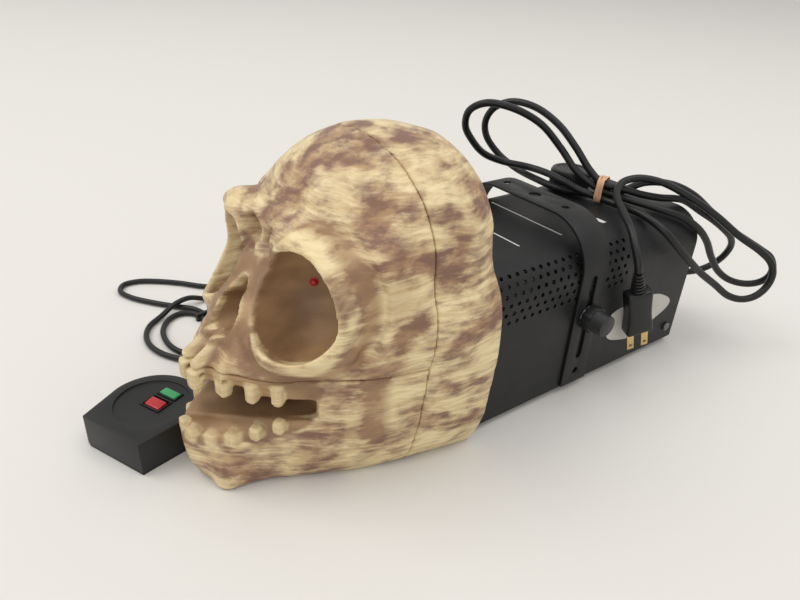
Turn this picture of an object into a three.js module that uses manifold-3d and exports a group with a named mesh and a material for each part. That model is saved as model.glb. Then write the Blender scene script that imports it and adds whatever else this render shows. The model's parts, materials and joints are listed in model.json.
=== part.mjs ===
// Fog machine with a moulded skull front: sheet-steel case, heater, pump and tank inside,
// a hanging bracket with two clamp knobs, a stored mains lead and a wired remote.
// Millimetres, +Z up. Built with x = 0 on the case's centre plane, y = 0 at the case's front
// and z = 0 on the floor; the last lines move the whole group to its reference point.
import * as THREE from 'three';
import { mergeVertices } from 'three/addons/utils/BufferGeometryUtils.js';
import Module from 'manifold-3d';

const wasm = await Module();
wasm.setup();

// ---- driving dimensions ----
const gap = 0.3;                 // between pieces that touch
const sheet = 1.2;               // steel sheet of the case
const footHeight = 6;
const caseWidth = 140;
const caseLength = 261;
const caseHeight = 122.5;
const caseBend = 28;             // outer radius of the cover's two top bends
const skullWall = 3;
const skullRim = 6;              // y of the skull's open rear edge
const seamY = -48;               // joint between the front and rear shells
const seamZ = 90;                // joint between the face and jaw shells
const bracketWidth = 29;
const bracketThickness = 2;
const bracketY = 120.5;          // pivot line of the hanging bracket
const pivotZ = 71;
const bracketTop = 148;
const bracketFoot = 7;
const slotWidth = 6.4;
const slotBottom = 31;
const slotTop = 106;
const knobDiameter = 22;
const knobLength = 18;
const studDiameter = 6;
const tankWidth = 84;
const tankLength = 74;
const tankHeight = 86;
const neckDiameter = 30;
const capDiameter = 36;
const capHeight = 18;
const capX = -35;
const capY = 205;
const nozzleZ = 66;
const ductDiameter = 26;
const heaterLength = 92;
const heaterWidth = 50;
const heaterHeight = 44;
const mainsDiameter = 6.3;
const cableDiameter = 5;
const remoteRadius = 33;
const remoteHeight = 27;

// ---- materials ----
const paint = (color, roughness, metalness = 0) =>
  new THREE.MeshStandardMaterial({ color, roughness, metalness });
const blackSteel = paint(0x2b2c2d, 0.55, 0.3);
const castResin = paint(0xd9c49a, 0.45);
const rubber = paint(0x1c1c1c, 0.8);
const blackPlastic = paint(0x26282a, 0.5);
const steel = paint(0x9a9b9c, 0.35, 0.9);
const brass = paint(0xb58a45, 0.35, 0.9);
const aluminium = paint(0xb4b6b8, 0.45, 0.8);
const insulation = paint(0xd6d2c4, 0.95);
const milkyPlastic = paint(0xdcdcd4, 0.4);
const boardGreen = paint(0x2f5d3a, 0.6);
const redLens = paint(0x8e1a1c, 0.25);
const greenLens = paint(0x2f7d48, 0.25);
const siliconeTube = paint(0xc9c6bd, 0.5);
const tanRubber = paint(0xb98f63, 0.75);

// ---- shape helpers ----
const machine = new THREE.Group();

function add(name, shape, material) {
  const geometry = shape.isBufferGeometry ? shape : surface(shape);
  const mesh = new THREE.Mesh(geometry, material);
  mesh.name = name;
  machine.add(mesh);
  return mesh;
}

function solid(geometry) {
  const bare = geometry.clone();
  for (const key of Object.keys(bare.attributes)) {
    if (key !== 'position') bare.deleteAttribute(key);
  }
  const merged = mergeVertices(bare, 1e-4);
  return new wasm.Manifold(new wasm.Mesh({
    numProp: 3,
    vertProperties: Float32Array.from(merged.attributes.position.array),
    triVerts: Uint32Array.from(merged.index.array),
  }));
}

function surface(body) {
  const mesh = body.getMesh();
  const indexed = new THREE.BufferGeometry();
  indexed.setAttribute('position', new THREE.BufferAttribute(mesh.vertProperties, 3));
  indexed.setIndex(new THREE.BufferAttribute(mesh.triVerts, 1));
  const flat = indexed.toNonIndexed();
  flat.computeVertexNormals();
  return flat;
}

function block(low, high) {
  const size = high.map((value, i) => value - low[i]);
  const centre = high.map((value, i) => (value + low[i]) / 2);
  return new THREE.BoxGeometry(...size).translate(...centre);
}

// a round bar from one end point, running along +X, +Y or +Z
function bar(axis, start, length, radius, sides = 20, endRadius = radius) {
  const geometry = new THREE.CylinderGeometry(endRadius, radius, length, sides);
  geometry.translate(0, length / 2, 0);
  if (axis === 'x') geometry.rotateZ(-Math.PI / 2);
  if (axis === 'z') geometry.rotateX(Math.PI / 2);
  return geometry.translate(...start);
}

function ball(centre, radii, across = 24, up = 16) {
  return new THREE.SphereGeometry(1, across, up).scale(...radii).translate(...centre);
}

// a flat outline drawn in X-Z, given thickness along +Y from y0
function plateXZ(shape, y0, thickness, curveSegments = 8) {
  const geometry = new THREE.ExtrudeGeometry(shape, {
    depth: thickness, bevelEnabled: false, curveSegments,
  });
  return geometry.rotateX(Math.PI / 2).translate(0, y0 + thickness, 0);
}

function tube(points, diameter, steps, sides = 8) {
  const route = new THREE.CatmullRomCurve3(points.map((p) => new THREE.Vector3(...p)),
    false, 'centripetal');
  const section = new THREE.Shape();
  for (let i = 0; i < sides; i += 1) {
    const angle = (i / sides) * 2 * Math.PI;
    const [x, y] = [Math.cos(angle) * diameter / 2, Math.sin(angle) * diameter / 2];
    if (i === 0) section.moveTo(x, y);
    else section.lineTo(x, y);
  }
  section.closePath();
  return new THREE.ExtrudeGeometry(section, { steps, bevelEnabled: false, extrudePath: route });
}

const union = (shapes) => shapes.map((s) => (s.isBufferGeometry ? solid(s) : s))
  .reduce((whole, piece) => whole.add(piece));
const cut = (body, shapes) => shapes.map((s) => (s.isBufferGeometry ? solid(s) : s))
  .reduce((whole, tool) => whole.subtract(tool),
    body.isBufferGeometry ? solid(body) : body);

// ---- case ----
const caseTop = footHeight + caseHeight;
const half = caseWidth / 2;

// half-tunnel outline of the cover, inset by a distance
function coverOutline(inset, bottom) {
  const x = half - inset;
  const z = caseTop - inset;
  const r = caseBend - inset;
  const shape = new THREE.Shape();
  shape.moveTo(-x, bottom);
  shape.lineTo(x, bottom);
  shape.lineTo(x, z - r);
  shape.absarc(x - r, z - r, r, 0, Math.PI / 2, false);
  shape.lineTo(-x + r, z);
  shape.absarc(-x + r, z - r, r, Math.PI / 2, Math.PI, false);
  shape.closePath();
  return shape;
}

// plateXZ turns the drawing's +Y to +Z, so a shape drawn upright stays upright
const coverOuter = solid(plateXZ(coverOutline(0, footHeight), 0, caseLength));
const coverInner = solid(plateXZ(coverOutline(sheet, footHeight - 1), -1, caseLength + 2));
const filler = bar('z', [capX, capY, caseTop - 5], 10, neckDiameter / 2 + 1.5, 24);
const studHoles = [-1, 1].map((side) => bar('x', [side < 0 ? -half - 5 : half - 5, bracketY, pivotZ],
  10, studDiameter / 2 + gap, 16));
const coverScrewY = caseLength - 13;
const coverScrewZ = footHeight + 14;
const screwHoles = [-1, 1].map((side) => bar('x',
  [side < 0 ? -half - 5 : half - 5, coverScrewY, coverScrewZ], 10, 2, 12));
add('top_cover', cut(coverOuter, [coverInner, filler, ...studHoles, ...screwHoles]), blackSteel);

const trayHalf = half - sheet - gap;
const trayTop = footHeight + 22;
const tray = union([
  block([-trayHalf, sheet + gap, footHeight], [trayHalf, caseLength - sheet - gap, footHeight + sheet]),
  block([-trayHalf, sheet + gap, footHeight], [-trayHalf + sheet, caseLength - sheet - gap, trayTop]),
  block([trayHalf - sheet, sheet + gap, footHeight], [trayHalf, caseLength - sheet - gap, trayTop]),
]);
add('base_tray', cut(tray, [-1, 1].map((side) => bar('x',
  [side < 0 ? -half - 5 : half - 5, coverScrewY, coverScrewZ], 10, 1.2, 12))), steel);

// end panels stand between the cover's ends, just inside its walls
const panelInset = sheet + gap;
const socketX = -36;
const socketZ = 40;
const glandX = 40;
const glandZ = 50;
const fuseX = 0;
const fuseZ = 40;
const glandRadius = 7;
const socketRadius = 9;
const fuseRadius = 8;
add('front_panel', cut(plateXZ(coverOutline(panelInset, footHeight), 0, sheet),
  [bar('y', [0, -5, nozzleZ], 12, 9, 24),
    ...[-1, 1].flatMap((side) => [30, 100].map((z) => bar('y', [side * 40, -5, z], 12, 2.2, 12)))]),
blackSteel);
add('rear_panel', cut(plateXZ(coverOutline(panelInset, footHeight), caseLength - sheet, sheet),
  [bar('y', [glandX, caseLength - 6, glandZ], 12, glandRadius - 2 + gap, 20),
    bar('y', [socketX, caseLength - 6, socketZ], 12, socketRadius - 2 + gap, 20),
    bar('y', [fuseX, caseLength - 6, fuseZ], 12, fuseRadius - 2 + gap, 20)]), blackSteel);

const footInset = 20;
const footY = [24, 229];
for (const [row, y] of [['front', footY[0]], ['rear', footY[1]]]) {
  for (const [side, x] of [['left', -half + footInset], ['right', half - footInset]]) {
    add(`foot_${row}_${side}`, bar('z', [x, y, 0], footHeight - gap, 7, 16, 8.5), rubber);
  }
}
for (const [side, sign] of [['left', -1], ['right', 1]]) {
  const head = bar('x', [sign < 0 ? -half - 2.4 : half + gap, coverScrewY, coverScrewZ], 2.1, 4, 14);
  const shank = bar('x', [sign < 0 ? -half - 0.5 : half - 4.5, coverScrewY, coverScrewZ], 5, 1, 10);
  add(`cover_screw_${side}`, union([head, shank]), steel);
}
// ---- skull shells ----
// level: height, front y, half width, y of the widest line, squareness, rear reach
const skullLevels = [
  [0, -172, 75, 6, 1.45, 60],
  [8, -178, 80, 6, 1.5, 60],
  [30, -180, 85, 4, 1.5, 60],
  [60, -176, 89, 0, 1.6, 70],
  [90, -165, 91, -4, 1.75, 75],
  [110, -146, 91, -8, 2.4, 78],
  [128, -134, 88, -14, 3.2, 80],
  [142, -127, 84, -26, 4, 74],
  [160, -121, 82, -32, 4, 77],
  [178, -119, 79, -32, 3.2, 76],
  [190, -111, 71, -32, 2.6, 70],
  [200, -100, 61, -32, 2.2, 61],
  [209, -84, 47, -32, 2, 46],
  [216, -62, 28, -32, 2, 29],
];
const crown = [0, -32, 220];

function skullLoft(inset, around = 40) {
  const positions = [];
  const rings = skullLevels.filter((row) => row[2] > inset + 6);
  for (const [z, front, width, middle, square, rear] of rings) {
    const height = Math.min(Math.max(z, inset), crown[2] - inset - 1.5);
    for (let i = 0; i < around; i += 1) {
      const angle = (i / around) * 2 * Math.PI;
      const [s, c] = [Math.sin(angle), Math.cos(angle)];
      const power = c > 0 ? 2 / square : 1;
      const reach = c > 0 ? middle - front - inset : rear - inset;
      const x = (width - inset) * Math.sign(s) * Math.abs(s) ** power;
      const y = middle - reach * Math.sign(c) * Math.abs(c) ** power;
      positions.push(x, y, height);
    }
  }
  const bottom = rings.length * around;
  positions.push(0, -60, inset);
  positions.push(crown[0], crown[1], crown[2] - inset);
  const index = [];
  for (let ring = 0; ring < rings.length - 1; ring += 1) {
    for (let i = 0; i < around; i += 1) {
      const a = ring * around + i;
      const b = ring * around + ((i + 1) % around);
      index.push(a, b, a + around, b, b + around, a + around);
    }
  }
  const last = (rings.length - 1) * around;
  for (let i = 0; i < around; i += 1) {
    const next = (i + 1) % around;
    index.push(bottom, next, i);
    index.push(bottom + 1, last + i, last + next);
  }
  const geometry = new THREE.BufferGeometry();
  geometry.setAttribute('position', new THREE.Float32BufferAttribute(positions, 3));
  geometry.setIndex(index);
  return geometry;
}
const wholeSkull = { low: [-120, -220, -5], high: [120, skullRim, 240] };
const mouthFloor = 54;
const mouthRoof = 83;
const mouthBack = -104;
const lipTop = 74;
const lipBack = -116;
const mouthInset = 9;

// the dental arch: the skull's outline at a level, inset and cut off at a back line
function archSlab(inset, level, back, low, high) {
  const [, front, width, middle, square] = skullLevels[level];
  const shape = new THREE.Shape();
  const steps = 28;
  for (let i = 0; i <= steps; i += 1) {
    const angle = -Math.PI / 2 + (i / steps) * Math.PI;
    const [s, c] = [Math.sin(angle), Math.abs(Math.cos(angle))];
    const x = (width - inset) * Math.sign(s) * Math.abs(s) ** (2 / square);
    const y = middle - (middle - front - inset) * c ** (2 / square);
    if (i === 0) shape.moveTo(x, y);
    else shape.lineTo(x, y);
  }
  shape.closePath();
  const slab = new THREE.ExtrudeGeometry(shape, { depth: high - low, bevelEnabled: false });
  return solid(slab.translate(0, 0, low)).intersect(solid(block([-100, -230, low - 1], [100, back, high + 1])));
}

function toothRow(level, inset, low, high, rise, count) {
  const [, front, width, middle, square] = skullLevels[level];
  return Array.from({ length: count }, (_, i) => {
    const share = (i - (count - 1) / 2) / ((count - 1) / 2);
    const angle = share * 0.44;
    const power = 2 / square;
    const x = (width - inset) * Math.sign(angle) * Math.abs(Math.sin(angle)) ** power;
    const y = middle - (middle - front - inset) * Math.cos(angle) ** power;
    const lift = rise * Math.abs(share);
    return bar('z', [x, y, low + lift], high - low, 4.2, 8);
  });
}

const socketCentre = [43, -119, 137];
const socketRadii = [29, 34, 40];
const noseCentre = [0, -140, 122];
const noseRadii = [12, 22, 17];
const eyeLedPlace = [22, -92.5, 136];
const eyeLedDiameter = 5;
const mouthLedPlace = [12, -140];
const mirrored = (centre) => [-1, 1].map((side) => [side * centre[0], centre[1], centre[2]]);
const grown = (radii, by) => radii.map((r) => r + by);

const skullOuter = union([
  skullLoft(0),
  ...mirrored([32, -110, 181]).map((c) => ball(c, [34, 14, 9], 18, 12)),
  ...mirrored([44, -116, 96]).map((c) => ball(c, [22, 20, 13], 18, 12)),
  ball([0, -124, 148], [9, 18, 22], 16, 12),
  ball([0, -150, 92], [30, 22, 16], 18, 12),
  ball([0, -166, 12], [26, 14, 12], 18, 12),
  ...toothRow(3, 2, 36, 52, 12, 9),
]);
const skullInner = skullLoft(skullWall);
let shell = cut(skullOuter, [skullInner, block([-120, skullRim, -20], [120, 200, 260])]);
shell = shell.add(union([
  ...mirrored(socketCentre).map((c) => ball(c, grown(socketRadii, skullWall))),
  ball(noseCentre, grown(noseRadii, skullWall)),
  archSlab(mouthInset - skullWall, 3, mouthBack + skullWall, mouthFloor - skullWall,
    mouthRoof + skullWall),
]).intersect(skullOuter));
shell = cut(shell, [
  ...mirrored(socketCentre).map((c) => ball(c, socketRadii)),
  ball(noseCentre, noseRadii),
  archSlab(mouthInset, 3, mouthBack, mouthFloor, mouthRoof),
  block([-100, -230, mouthFloor], [100, lipBack, lipTop]),
]);
shell = shell.add(union(toothRow(3, 9, 66, mouthRoof + 1.5, 0, 8)));
shell = cut(shell, [
  ...mirrored(eyeLedPlace).map(([x, y, z]) => bar('y', [x, y - 20, z], 40,
    eyeLedDiameter / 2 + gap, 16)),
  bar('z', [...mouthLedPlace, mouthRoof - 4], 20, eyeLedDiameter / 2 + gap, 16),
  bar('y', [0, mouthBack - 10, nozzleZ], 30, ductDiameter / 2 + gap, 28),
]);
const frontBlock = (low, high) => solid(block([-120, -230, low], [120, seamY - gap / 2, high]));
const rearBlock = solid(block([-120, seamY + gap / 2, -20], [120, 60, 260]));
const largest = (body) => body.decompose().sort((a, b) => b.volume() - a.volume())[0];
add('skull_face_shell', largest(shell.intersect(frontBlock(seamZ + gap / 2, 260))), castResin);
add('skull_jaw_shell', largest(shell.intersect(frontBlock(-20, seamZ - gap / 2))), castResin);
add('skull_rear_shell', largest(shell.intersect(rearBlock)), castResin);

// sheet plate that carries the skull, screwed flat on the case's front
const plateThickness = 2;
const carrier = solid(skullLoft(skullWall + gap)).intersect(
  solid(block([-110, -gap - plateThickness, 2], [110, -gap, 215])));
add('skull_mount_plate', cut(carrier, [
  block([-48, -20, 136], [48, 20, 188]),
  bar('y', [0, -10, nozzleZ], 20, ductDiameter / 2 + gap, 28),
  ...mirrored([64, 0, 40]).map(([x, , z]) => block([x - 9, -20, z - 22], [x + 9, 20, z + 30])),
  ...[-1, 1].flatMap((side) => [30, 100].map((z) => bar('y', [side * 40, -10, z], 20, 2.2, 12))),
]), steel);
const ductEnd = mouthBack - 2;
add('fog_duct', cut(bar('y', [0, ductEnd, nozzleZ], -gap - ductEnd, ductDiameter / 2, 28),
  [bar('y', [0, ductEnd - 5, nozzleZ], 130, ductDiameter / 2 - 2, 28)]), blackPlastic);

for (const [side, place] of [['left', mirrored(eyeLedPlace)[0]], ['right', mirrored(eyeLedPlace)[1]]]) {
  const [x, y, z] = place;
  add(`eye_led_${side}`, union([
    bar('y', [x, y - 3, z], 11, eyeLedDiameter / 2, 14),
    ball([x, y - 3, z], [2.5, 2.5, 2.5], 14, 10)]), redLens);
}
add('mouth_led', union([
  bar('z', [...mouthLedPlace, mouthRoof - 6], 14, eyeLedDiameter / 2, 14),
  ball([...mouthLedPlace, mouthRoof - 6], [2.5, 2.5, 2.5], 14, 10)]), greenLens);

// ---- hanging bracket and clamp knobs ----
const strapInner = half + gap;
const strapOuter = strapInner + bracketThickness;
const strapBend = 40;
function strapOutline(x, z, r) {
  const shape = new THREE.Shape();
  shape.moveTo(-x, bracketFoot);
  shape.lineTo(-x, z - r);
  shape.absarc(-x + r, z - r, r, Math.PI, Math.PI / 2, true);
  shape.lineTo(x - r, z);
  shape.absarc(x - r, z - r, r, Math.PI / 2, 0, true);
  shape.lineTo(x, bracketFoot);
  return shape;
}
const strapFront = bracketY - bracketWidth / 2;
const strapShape = strapOutline(strapOuter, bracketTop, strapBend);
const strapHole = strapOutline(strapInner, bracketTop - bracketThickness,
  strapBend - bracketThickness);
const strap = cut(plateXZ(strapShape, strapFront, bracketWidth, 10),
  [solid(plateXZ(strapHole, strapFront - 1, bracketWidth + 2, 10)),
    block([-strapInner, 0, 0], [strapInner, 300, bracketFoot + 1])]);
const slotCut = union([
  block([-100, bracketY - slotWidth / 2, slotBottom + slotWidth / 2],
    [100, bracketY + slotWidth / 2, slotTop - slotWidth / 2]),
  bar('x', [-100, bracketY, slotBottom + slotWidth / 2], 200, slotWidth / 2, 16),
  bar('x', [-100, bracketY, slotTop - slotWidth / 2], 200, slotWidth / 2, 16),
]);
const hangHoles = [-32, 0, 32].map((x) => bar('z', [x, bracketY, bracketTop - 8], 16,
  x === 0 ? 5 : 3.2, 16));
const legHole = bar('x', [-100, bracketY, 19], 200, 3, 12);
add('hanging_bracket', cut(strap, [slotCut, ...hangHoles, legHole]), blackSteel);

const washerThickness = 1.2;
const washerStart = strapOuter + gap;
const knobStart = washerStart + washerThickness + gap;
const flutes = 12;
function knobOutline() {
  const shape = new THREE.Shape();
  const steps = flutes * 4;
  for (let i = 0; i < steps; i += 1) {
    const angle = (i / steps) * 2 * Math.PI;
    const r = knobDiameter / 2 - 0.45 * (1 - Math.cos(flutes * angle));
    if (i === 0) shape.moveTo(r, 0);
    else shape.lineTo(r * Math.cos(angle), r * Math.sin(angle));
  }
  shape.closePath();
  return shape;
}
for (const [side, sign] of [['left', -1], ['right', 1]]) {
  const washer = cut(bar('x', [washerStart, 0, 0], washerThickness, 9.5, 24),
    [bar('x', [washerStart - 1, 0, 0], 4, studDiameter / 2 + gap, 16)]);
  const place = (body) => {
    const geometry = surface(body);
    if (sign < 0) geometry.rotateZ(Math.PI);
    return geometry.translate(0, bracketY, pivotZ);
  };
  add(`knob_washer_${side}`, place(washer), steel);
  const grip = new THREE.ExtrudeGeometry(knobOutline(), { depth: 8, bevelEnabled: false });
  grip.rotateY(Math.PI / 2).translate(knobStart, 0, 0);
  const nose = bar('x', [knobStart + 7, 0, 0], knobLength - 7, 9.6, 24, 8.6);
  const stud = bar('x', [half - 8, 0, 0], knobStart - half + 10, studDiameter / 2, 16);
  add(`clamp_knob_${side}`, place(union([grip, nose, stud])), blackPlastic);
}

// ---- tank, filler neck and cap ----
const tankLow = footHeight + sheet + 0.6;
const tankX = [capX - 29, capX - 29 + tankWidth];
const tankY = [capY - 33, capY - 33 + tankLength];
const tankTop = tankLow + tankHeight;
const neckTop = caseTop + 11;
const tankWall = 2;
const suctionX = tankX[1] - 12;
const suctionY = capY - 18;
const tubeRadius = 2.5;
add('fluid_tank', cut(union([
  block([tankX[0], tankY[0], tankLow], [tankX[1], tankY[1], tankTop]),
  bar('z', [capX, capY, tankTop - 1], neckTop - tankTop + 1, neckDiameter / 2, 28),
]), [
  block([tankX[0] + tankWall, tankY[0] + tankWall, tankLow + tankWall],
    [tankX[1] - tankWall, tankY[1] - tankWall, tankTop - tankWall]),
  bar('z', [capX, capY, tankTop - 10], 80, neckDiameter / 2 - tankWall, 28),
  bar('z', [suctionX, suctionY, tankTop - 10], 20, tubeRadius + gap, 16),
]), milkyPlastic);
const sealThickness = 1.5;
add('cap_seal', bar('z', [capX, capY, neckTop + gap], sealThickness, neckDiameter / 2 - 0.5, 28),
  rubber);
const capBase = caseTop + gap;
const capBore = neckTop + sealThickness + 2 * gap;
add('tank_cap', cut(bar('z', [capX, capY, capBase], capHeight, capDiameter / 2, 32),
  [bar('z', [capX, capY, capBase - 1], capBore - capBase + 1, neckDiameter / 2 + gap, 28)]),
blackPlastic);

// ---- pump ----
const pumpX = 46;
const pumpZ = 33;
const pumpRadius = 15;
const pumpY = [180, 236];
const plungerRadius = 4;
const floorTop = footHeight + sheet + gap;
add('pump_body', cut(union([
  bar('y', [pumpX, pumpY[0], pumpZ], pumpY[1] - pumpY[0], pumpRadius, 28),
  bar('z', [pumpX, 196, pumpZ + 10], 9, 3.5, 12),
  bar('y', [pumpX, pumpY[0] - 6, pumpZ], 8, 4, 12),
]), [bar('y', [pumpX, pumpY[1] - 20, pumpZ], 30, plungerRadius + gap, 20)]), steel);
add('pump_plunger', bar('y', [pumpX, pumpY[1] - 15, pumpZ], 25, plungerRadius, 18), brass);
add('pump_bracket', cut(union([
  block([pumpX - 17, 190, floorTop], [pumpX + 17, 226, floorTop + 1.5]),
  block([pumpX - 12, 190, floorTop], [pumpX + 12, 226, pumpZ - 6]),
]), [bar('y', [pumpX, 180, pumpZ], 60, pumpRadius + gap, 28)]), steel);
add('pickup_filter', bar('z', [suctionX, suctionY, tankLow + tankWall + gap], 12, 5.5, 16), brass);
add('suction_tube', tube([
  [suctionX, suctionY, tankLow + tankWall + 12 + 2 * gap], [suctionX, suctionY, 60], [suctionX, suctionY, 80], [suctionX, suctionY, tankTop - 6],
  [suctionX, suctionY, tankTop + 3], [suctionX + 6, suctionY + 1, tankTop + 13],
  [(suctionX + pumpX) / 2 + 2, suctionY + 3, tankTop + 15], [pumpX - 4, 192, tankTop + 4],
  [pumpX, 195, tankTop - 16], [pumpX, 196, pumpZ + 19 + gap]], 2 * tubeRadius, 24), siliconeTube);

// ---- heater ----
const heaterY = [24, 24 + heaterLength];
const heaterZ = [nozzleZ - heaterHeight / 2, nozzleZ + heaterHeight / 2];
add('heater_block', block([-heaterWidth / 2, heaterY[0], heaterZ[0]],
  [heaterWidth / 2, heaterY[1], heaterZ[1]]), aluminium);
const wrap = 5;
add('heater_insulation', cut(
  block([-heaterWidth / 2 - wrap, heaterY[0] + 8, heaterZ[0] - wrap],
    [heaterWidth / 2 + wrap, heaterY[1] - 8, heaterZ[1] + wrap]),
  [block([-heaterWidth / 2 - gap, 0, heaterZ[0] - gap],
    [heaterWidth / 2 + gap, 200, heaterZ[1] + gap])]), insulation);
for (const [end, y] of [['front', heaterY[0] + 2], ['rear', heaterY[1] - 6]]) {
  add(`heater_bracket_${end}`, union([
    block([-20, y, floorTop], [20, y + 2, heaterZ[0] - gap]),
    block([-20, y - 6, floorTop], [20, y + 2, floorTop + 1.5])]), steel);
}
add('fog_nozzle', cut(union([
  bar('y', [0, heaterY[0] - gap - 8, nozzleZ], 8, 8, 6),
  bar('y', [0, -12, nozzleZ], heaterY[0] - gap + 11, 4.5, 20, 5.5),
]), [bar('y', [0, -20, nozzleZ], 34, 1.5, 12)]), brass);
for (const [name, x] of [['control_thermostat', -13], ['limit_thermostat', 9]]) {
  add(name, union([
    bar('y', [x, heaterY[1] + gap, nozzleZ + 9], 9, 8, 20),
    block([x - 5, heaterY[1] + 8, nozzleZ + 7], [x - 3.4, heaterY[1] + 16, nozzleZ + 11]),
    block([x + 3.4, heaterY[1] + 8, nozzleZ + 7], [x + 5, heaterY[1] + 16, nozzleZ + 11]),
  ]), steel);
}
add('pressure_tube', tube([
  [pumpX, pumpY[0] - 6 - gap, pumpZ], [pumpX, 160, pumpZ + 1], [42, 148, 38],
  [30, 136, 48], [17, 128, 52], [14, 122, 52.5], [14, heaterY[1] + gap, 52.5]], 5, 18), brass);

// ---- electrics ----
add('circuit_board', union([
  block([-62, 124, 14], [-12, 166, 15.6]),
  block([-58, 128, 15], [-38, 142, 31]),
  block([-30, 130, 15], [-18, 146, 27]),
  bar('z', [-26, 157, 15], 20, 5, 14),
  ...[-60, -16].flatMap((x) => [126, 162].map((y) => block([x, y, floorTop], [x + 2, y + 2, 15]))),
]), boardGreen);
add('terminal_block', union([
  block([0, 132, floorTop], [30, 148, 16]),
  ...Array.from({ length: 5 }, (_, i) => block([1 + i * 6, 134, 15], [5 + i * 6, 146, 21])),
]), blackPlastic);

const rearFace = caseLength;
add('cord_gland', cut(union([
  bar('y', [glandX, rearFace - 9, glandZ], 12, glandRadius - 2, 20),
  bar('y', [glandX, rearFace + gap, glandZ], 4, glandRadius + 1, 20),
  bar('y', [glandX, rearFace + 4, glandZ], 26, glandRadius - 0.6, 20, mainsDiameter / 2 + 1.2),
]), [bar('y', [glandX, rearFace - 20, glandZ], 60, mainsDiameter / 2 + gap, 20)]), rubber);
const glandEnd = rearFace + 30;
const pinRadius = 3.6;
add('remote_socket', cut(union([
  bar('y', [socketX, rearFace - 8, socketZ], 10, socketRadius - 2, 20),
  bar('y', [socketX, rearFace + gap, socketZ], 2.4, socketRadius + 2, 24),
]), [bar('y', [socketX, rearFace - 5, socketZ], 20, pinRadius + gap, 20)]), blackPlastic);
const connectorFace = rearFace + 2.4 + 2 * gap;
add('remote_connector', cut(union([
  bar('y', [socketX, rearFace - 4, socketZ], 10, pinRadius, 18),
  bar('y', [socketX, connectorFace, socketZ], 14, 8, 20),
  bar('y', [socketX, connectorFace + 13, socketZ], 12, 5.4, 18, cableDiameter / 2 + 1),
]), [bar('y', [socketX, connectorFace + 10, socketZ], 30, cableDiameter / 2 + gap, 16)]),
blackPlastic);
add('fuse_holder', cut(union([
  bar('y', [fuseX, rearFace - 10, fuseZ], 12, fuseRadius - 2, 18),
  bar('y', [fuseX, rearFace + gap, fuseZ], 2.4, fuseRadius + 1, 18),
]), [bar('y', [fuseX, rearFace - 8, fuseZ], 20, 3.6, 16)]), blackPlastic);
const fuseCapFace = rearFace + 2.4 + 2 * gap;
add('fuse_cap', cut(union([
  bar('y', [fuseX, rearFace - 7, fuseZ], 12, 3.2, 16),
  bar('y', [fuseX, fuseCapFace, fuseZ], 6, 6.6, 18, 6),
]), [block([fuseX - 0.7, fuseCapFace + 5, fuseZ - 5], [fuseX + 0.7, fuseCapFace + 8, fuseZ + 5])]),
blackPlastic);

// ---- wired remote, built lying along +Y and then turned into place ----
const remotePlace = new THREE.Vector3(-56, -182.6, 0);
const remoteTurn = Math.atan2(0.41, 0.912);
const remoteFlat = 27;           // half width of the flat front edge
const remoteNose = -36;
const baseThickness = 2;
const remotes = [];
function addRemote(name, shape, material) {
  const geometry = shape.isBufferGeometry ? shape : surface(shape);
  geometry.rotateZ(remoteTurn).translate(...remotePlace.toArray());
  remotes.push(add(name, geometry, material));
}
function remoteOutline(inset) {
  const r = remoteRadius - inset;
  const shape = new THREE.Shape();
  shape.moveTo(-remoteFlat + inset, remoteNose + inset);
  shape.lineTo(remoteFlat - inset, remoteNose + inset);
  shape.lineTo(r * Math.cos(0.25), -r * Math.sin(0.25));
  shape.absarc(0, 0, r, -0.25, Math.PI + 0.25, false);
  shape.closePath();
  return shape;
}
const slab = (shape, low, high, segments = 20) => new THREE.ExtrudeGeometry(shape,
  { depth: high - low, bevelEnabled: false, curveSegments: segments }).translate(0, 0, low);
const rockerPlace = [2, 2];
const lampPlace = [2, 15];
const rockerSize = [15, 11];
const lampSize = [15, 7];
const dishDepth = 1.6;
const faceZ = remoteHeight - dishDepth;
const pocket = ([x, y], [w, d], extra, low, high) => block(
  [x - w / 2 - extra, y - d / 2 - extra, low], [x + w / 2 + extra, y + d / 2 + extra, high]);
const remoteExitZ = 13;
addRemote('remote_case', cut(slab(remoteOutline(0), baseThickness + gap, remoteHeight), [
  slab(remoteOutline(2.2), 0, faceZ - 2.2),
  bar('z', [0, 0, faceZ], 10, 26, 32),
  pocket(rockerPlace, rockerSize, 1.2 + gap, 10, 40),
  pocket(lampPlace, lampSize, 1.2 + gap, 10, 40),
  bar('y', [0, 20, remoteExitZ], 30, 4 + gap, 16),
]), blackPlastic);
addRemote('remote_base', slab(remoteOutline(0.4), 0, baseThickness), blackPlastic);
addRemote('rocker_bezel', cut(union([
  pocket(rockerPlace, rockerSize, 1.2, faceZ - 9, faceZ + 0.8)]),
[pocket(rockerPlace, rockerSize, gap, faceZ - 20, 40)]), blackPlastic);
addRemote('lamp_bezel', cut(pocket(lampPlace, lampSize, 1.2, faceZ - 9, faceZ + 0.8),
  [pocket(lampPlace, lampSize, gap, faceZ - 20, 40)]), blackPlastic);
const rockerTilt = 0.12;
const rockerPivot = faceZ - 5;
addRemote('rocker_switch', union([
  block([-rockerSize[0] / 2 + 0.6, -rockerSize[1] / 2 + 1.3, -3],
    [rockerSize[0] / 2 - 0.6, rockerSize[1] / 2 - 1.3, 6.4]).rotateX(rockerTilt),
]).translate([rockerPlace[0], rockerPlace[1], rockerPivot]), redLens);
addRemote('lamp_lens', pocket(lampPlace, lampSize, -0.2, faceZ - 8, faceZ + 1.2), greenLens);
const remoteGlandEnd = remoteRadius + 14;
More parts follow.
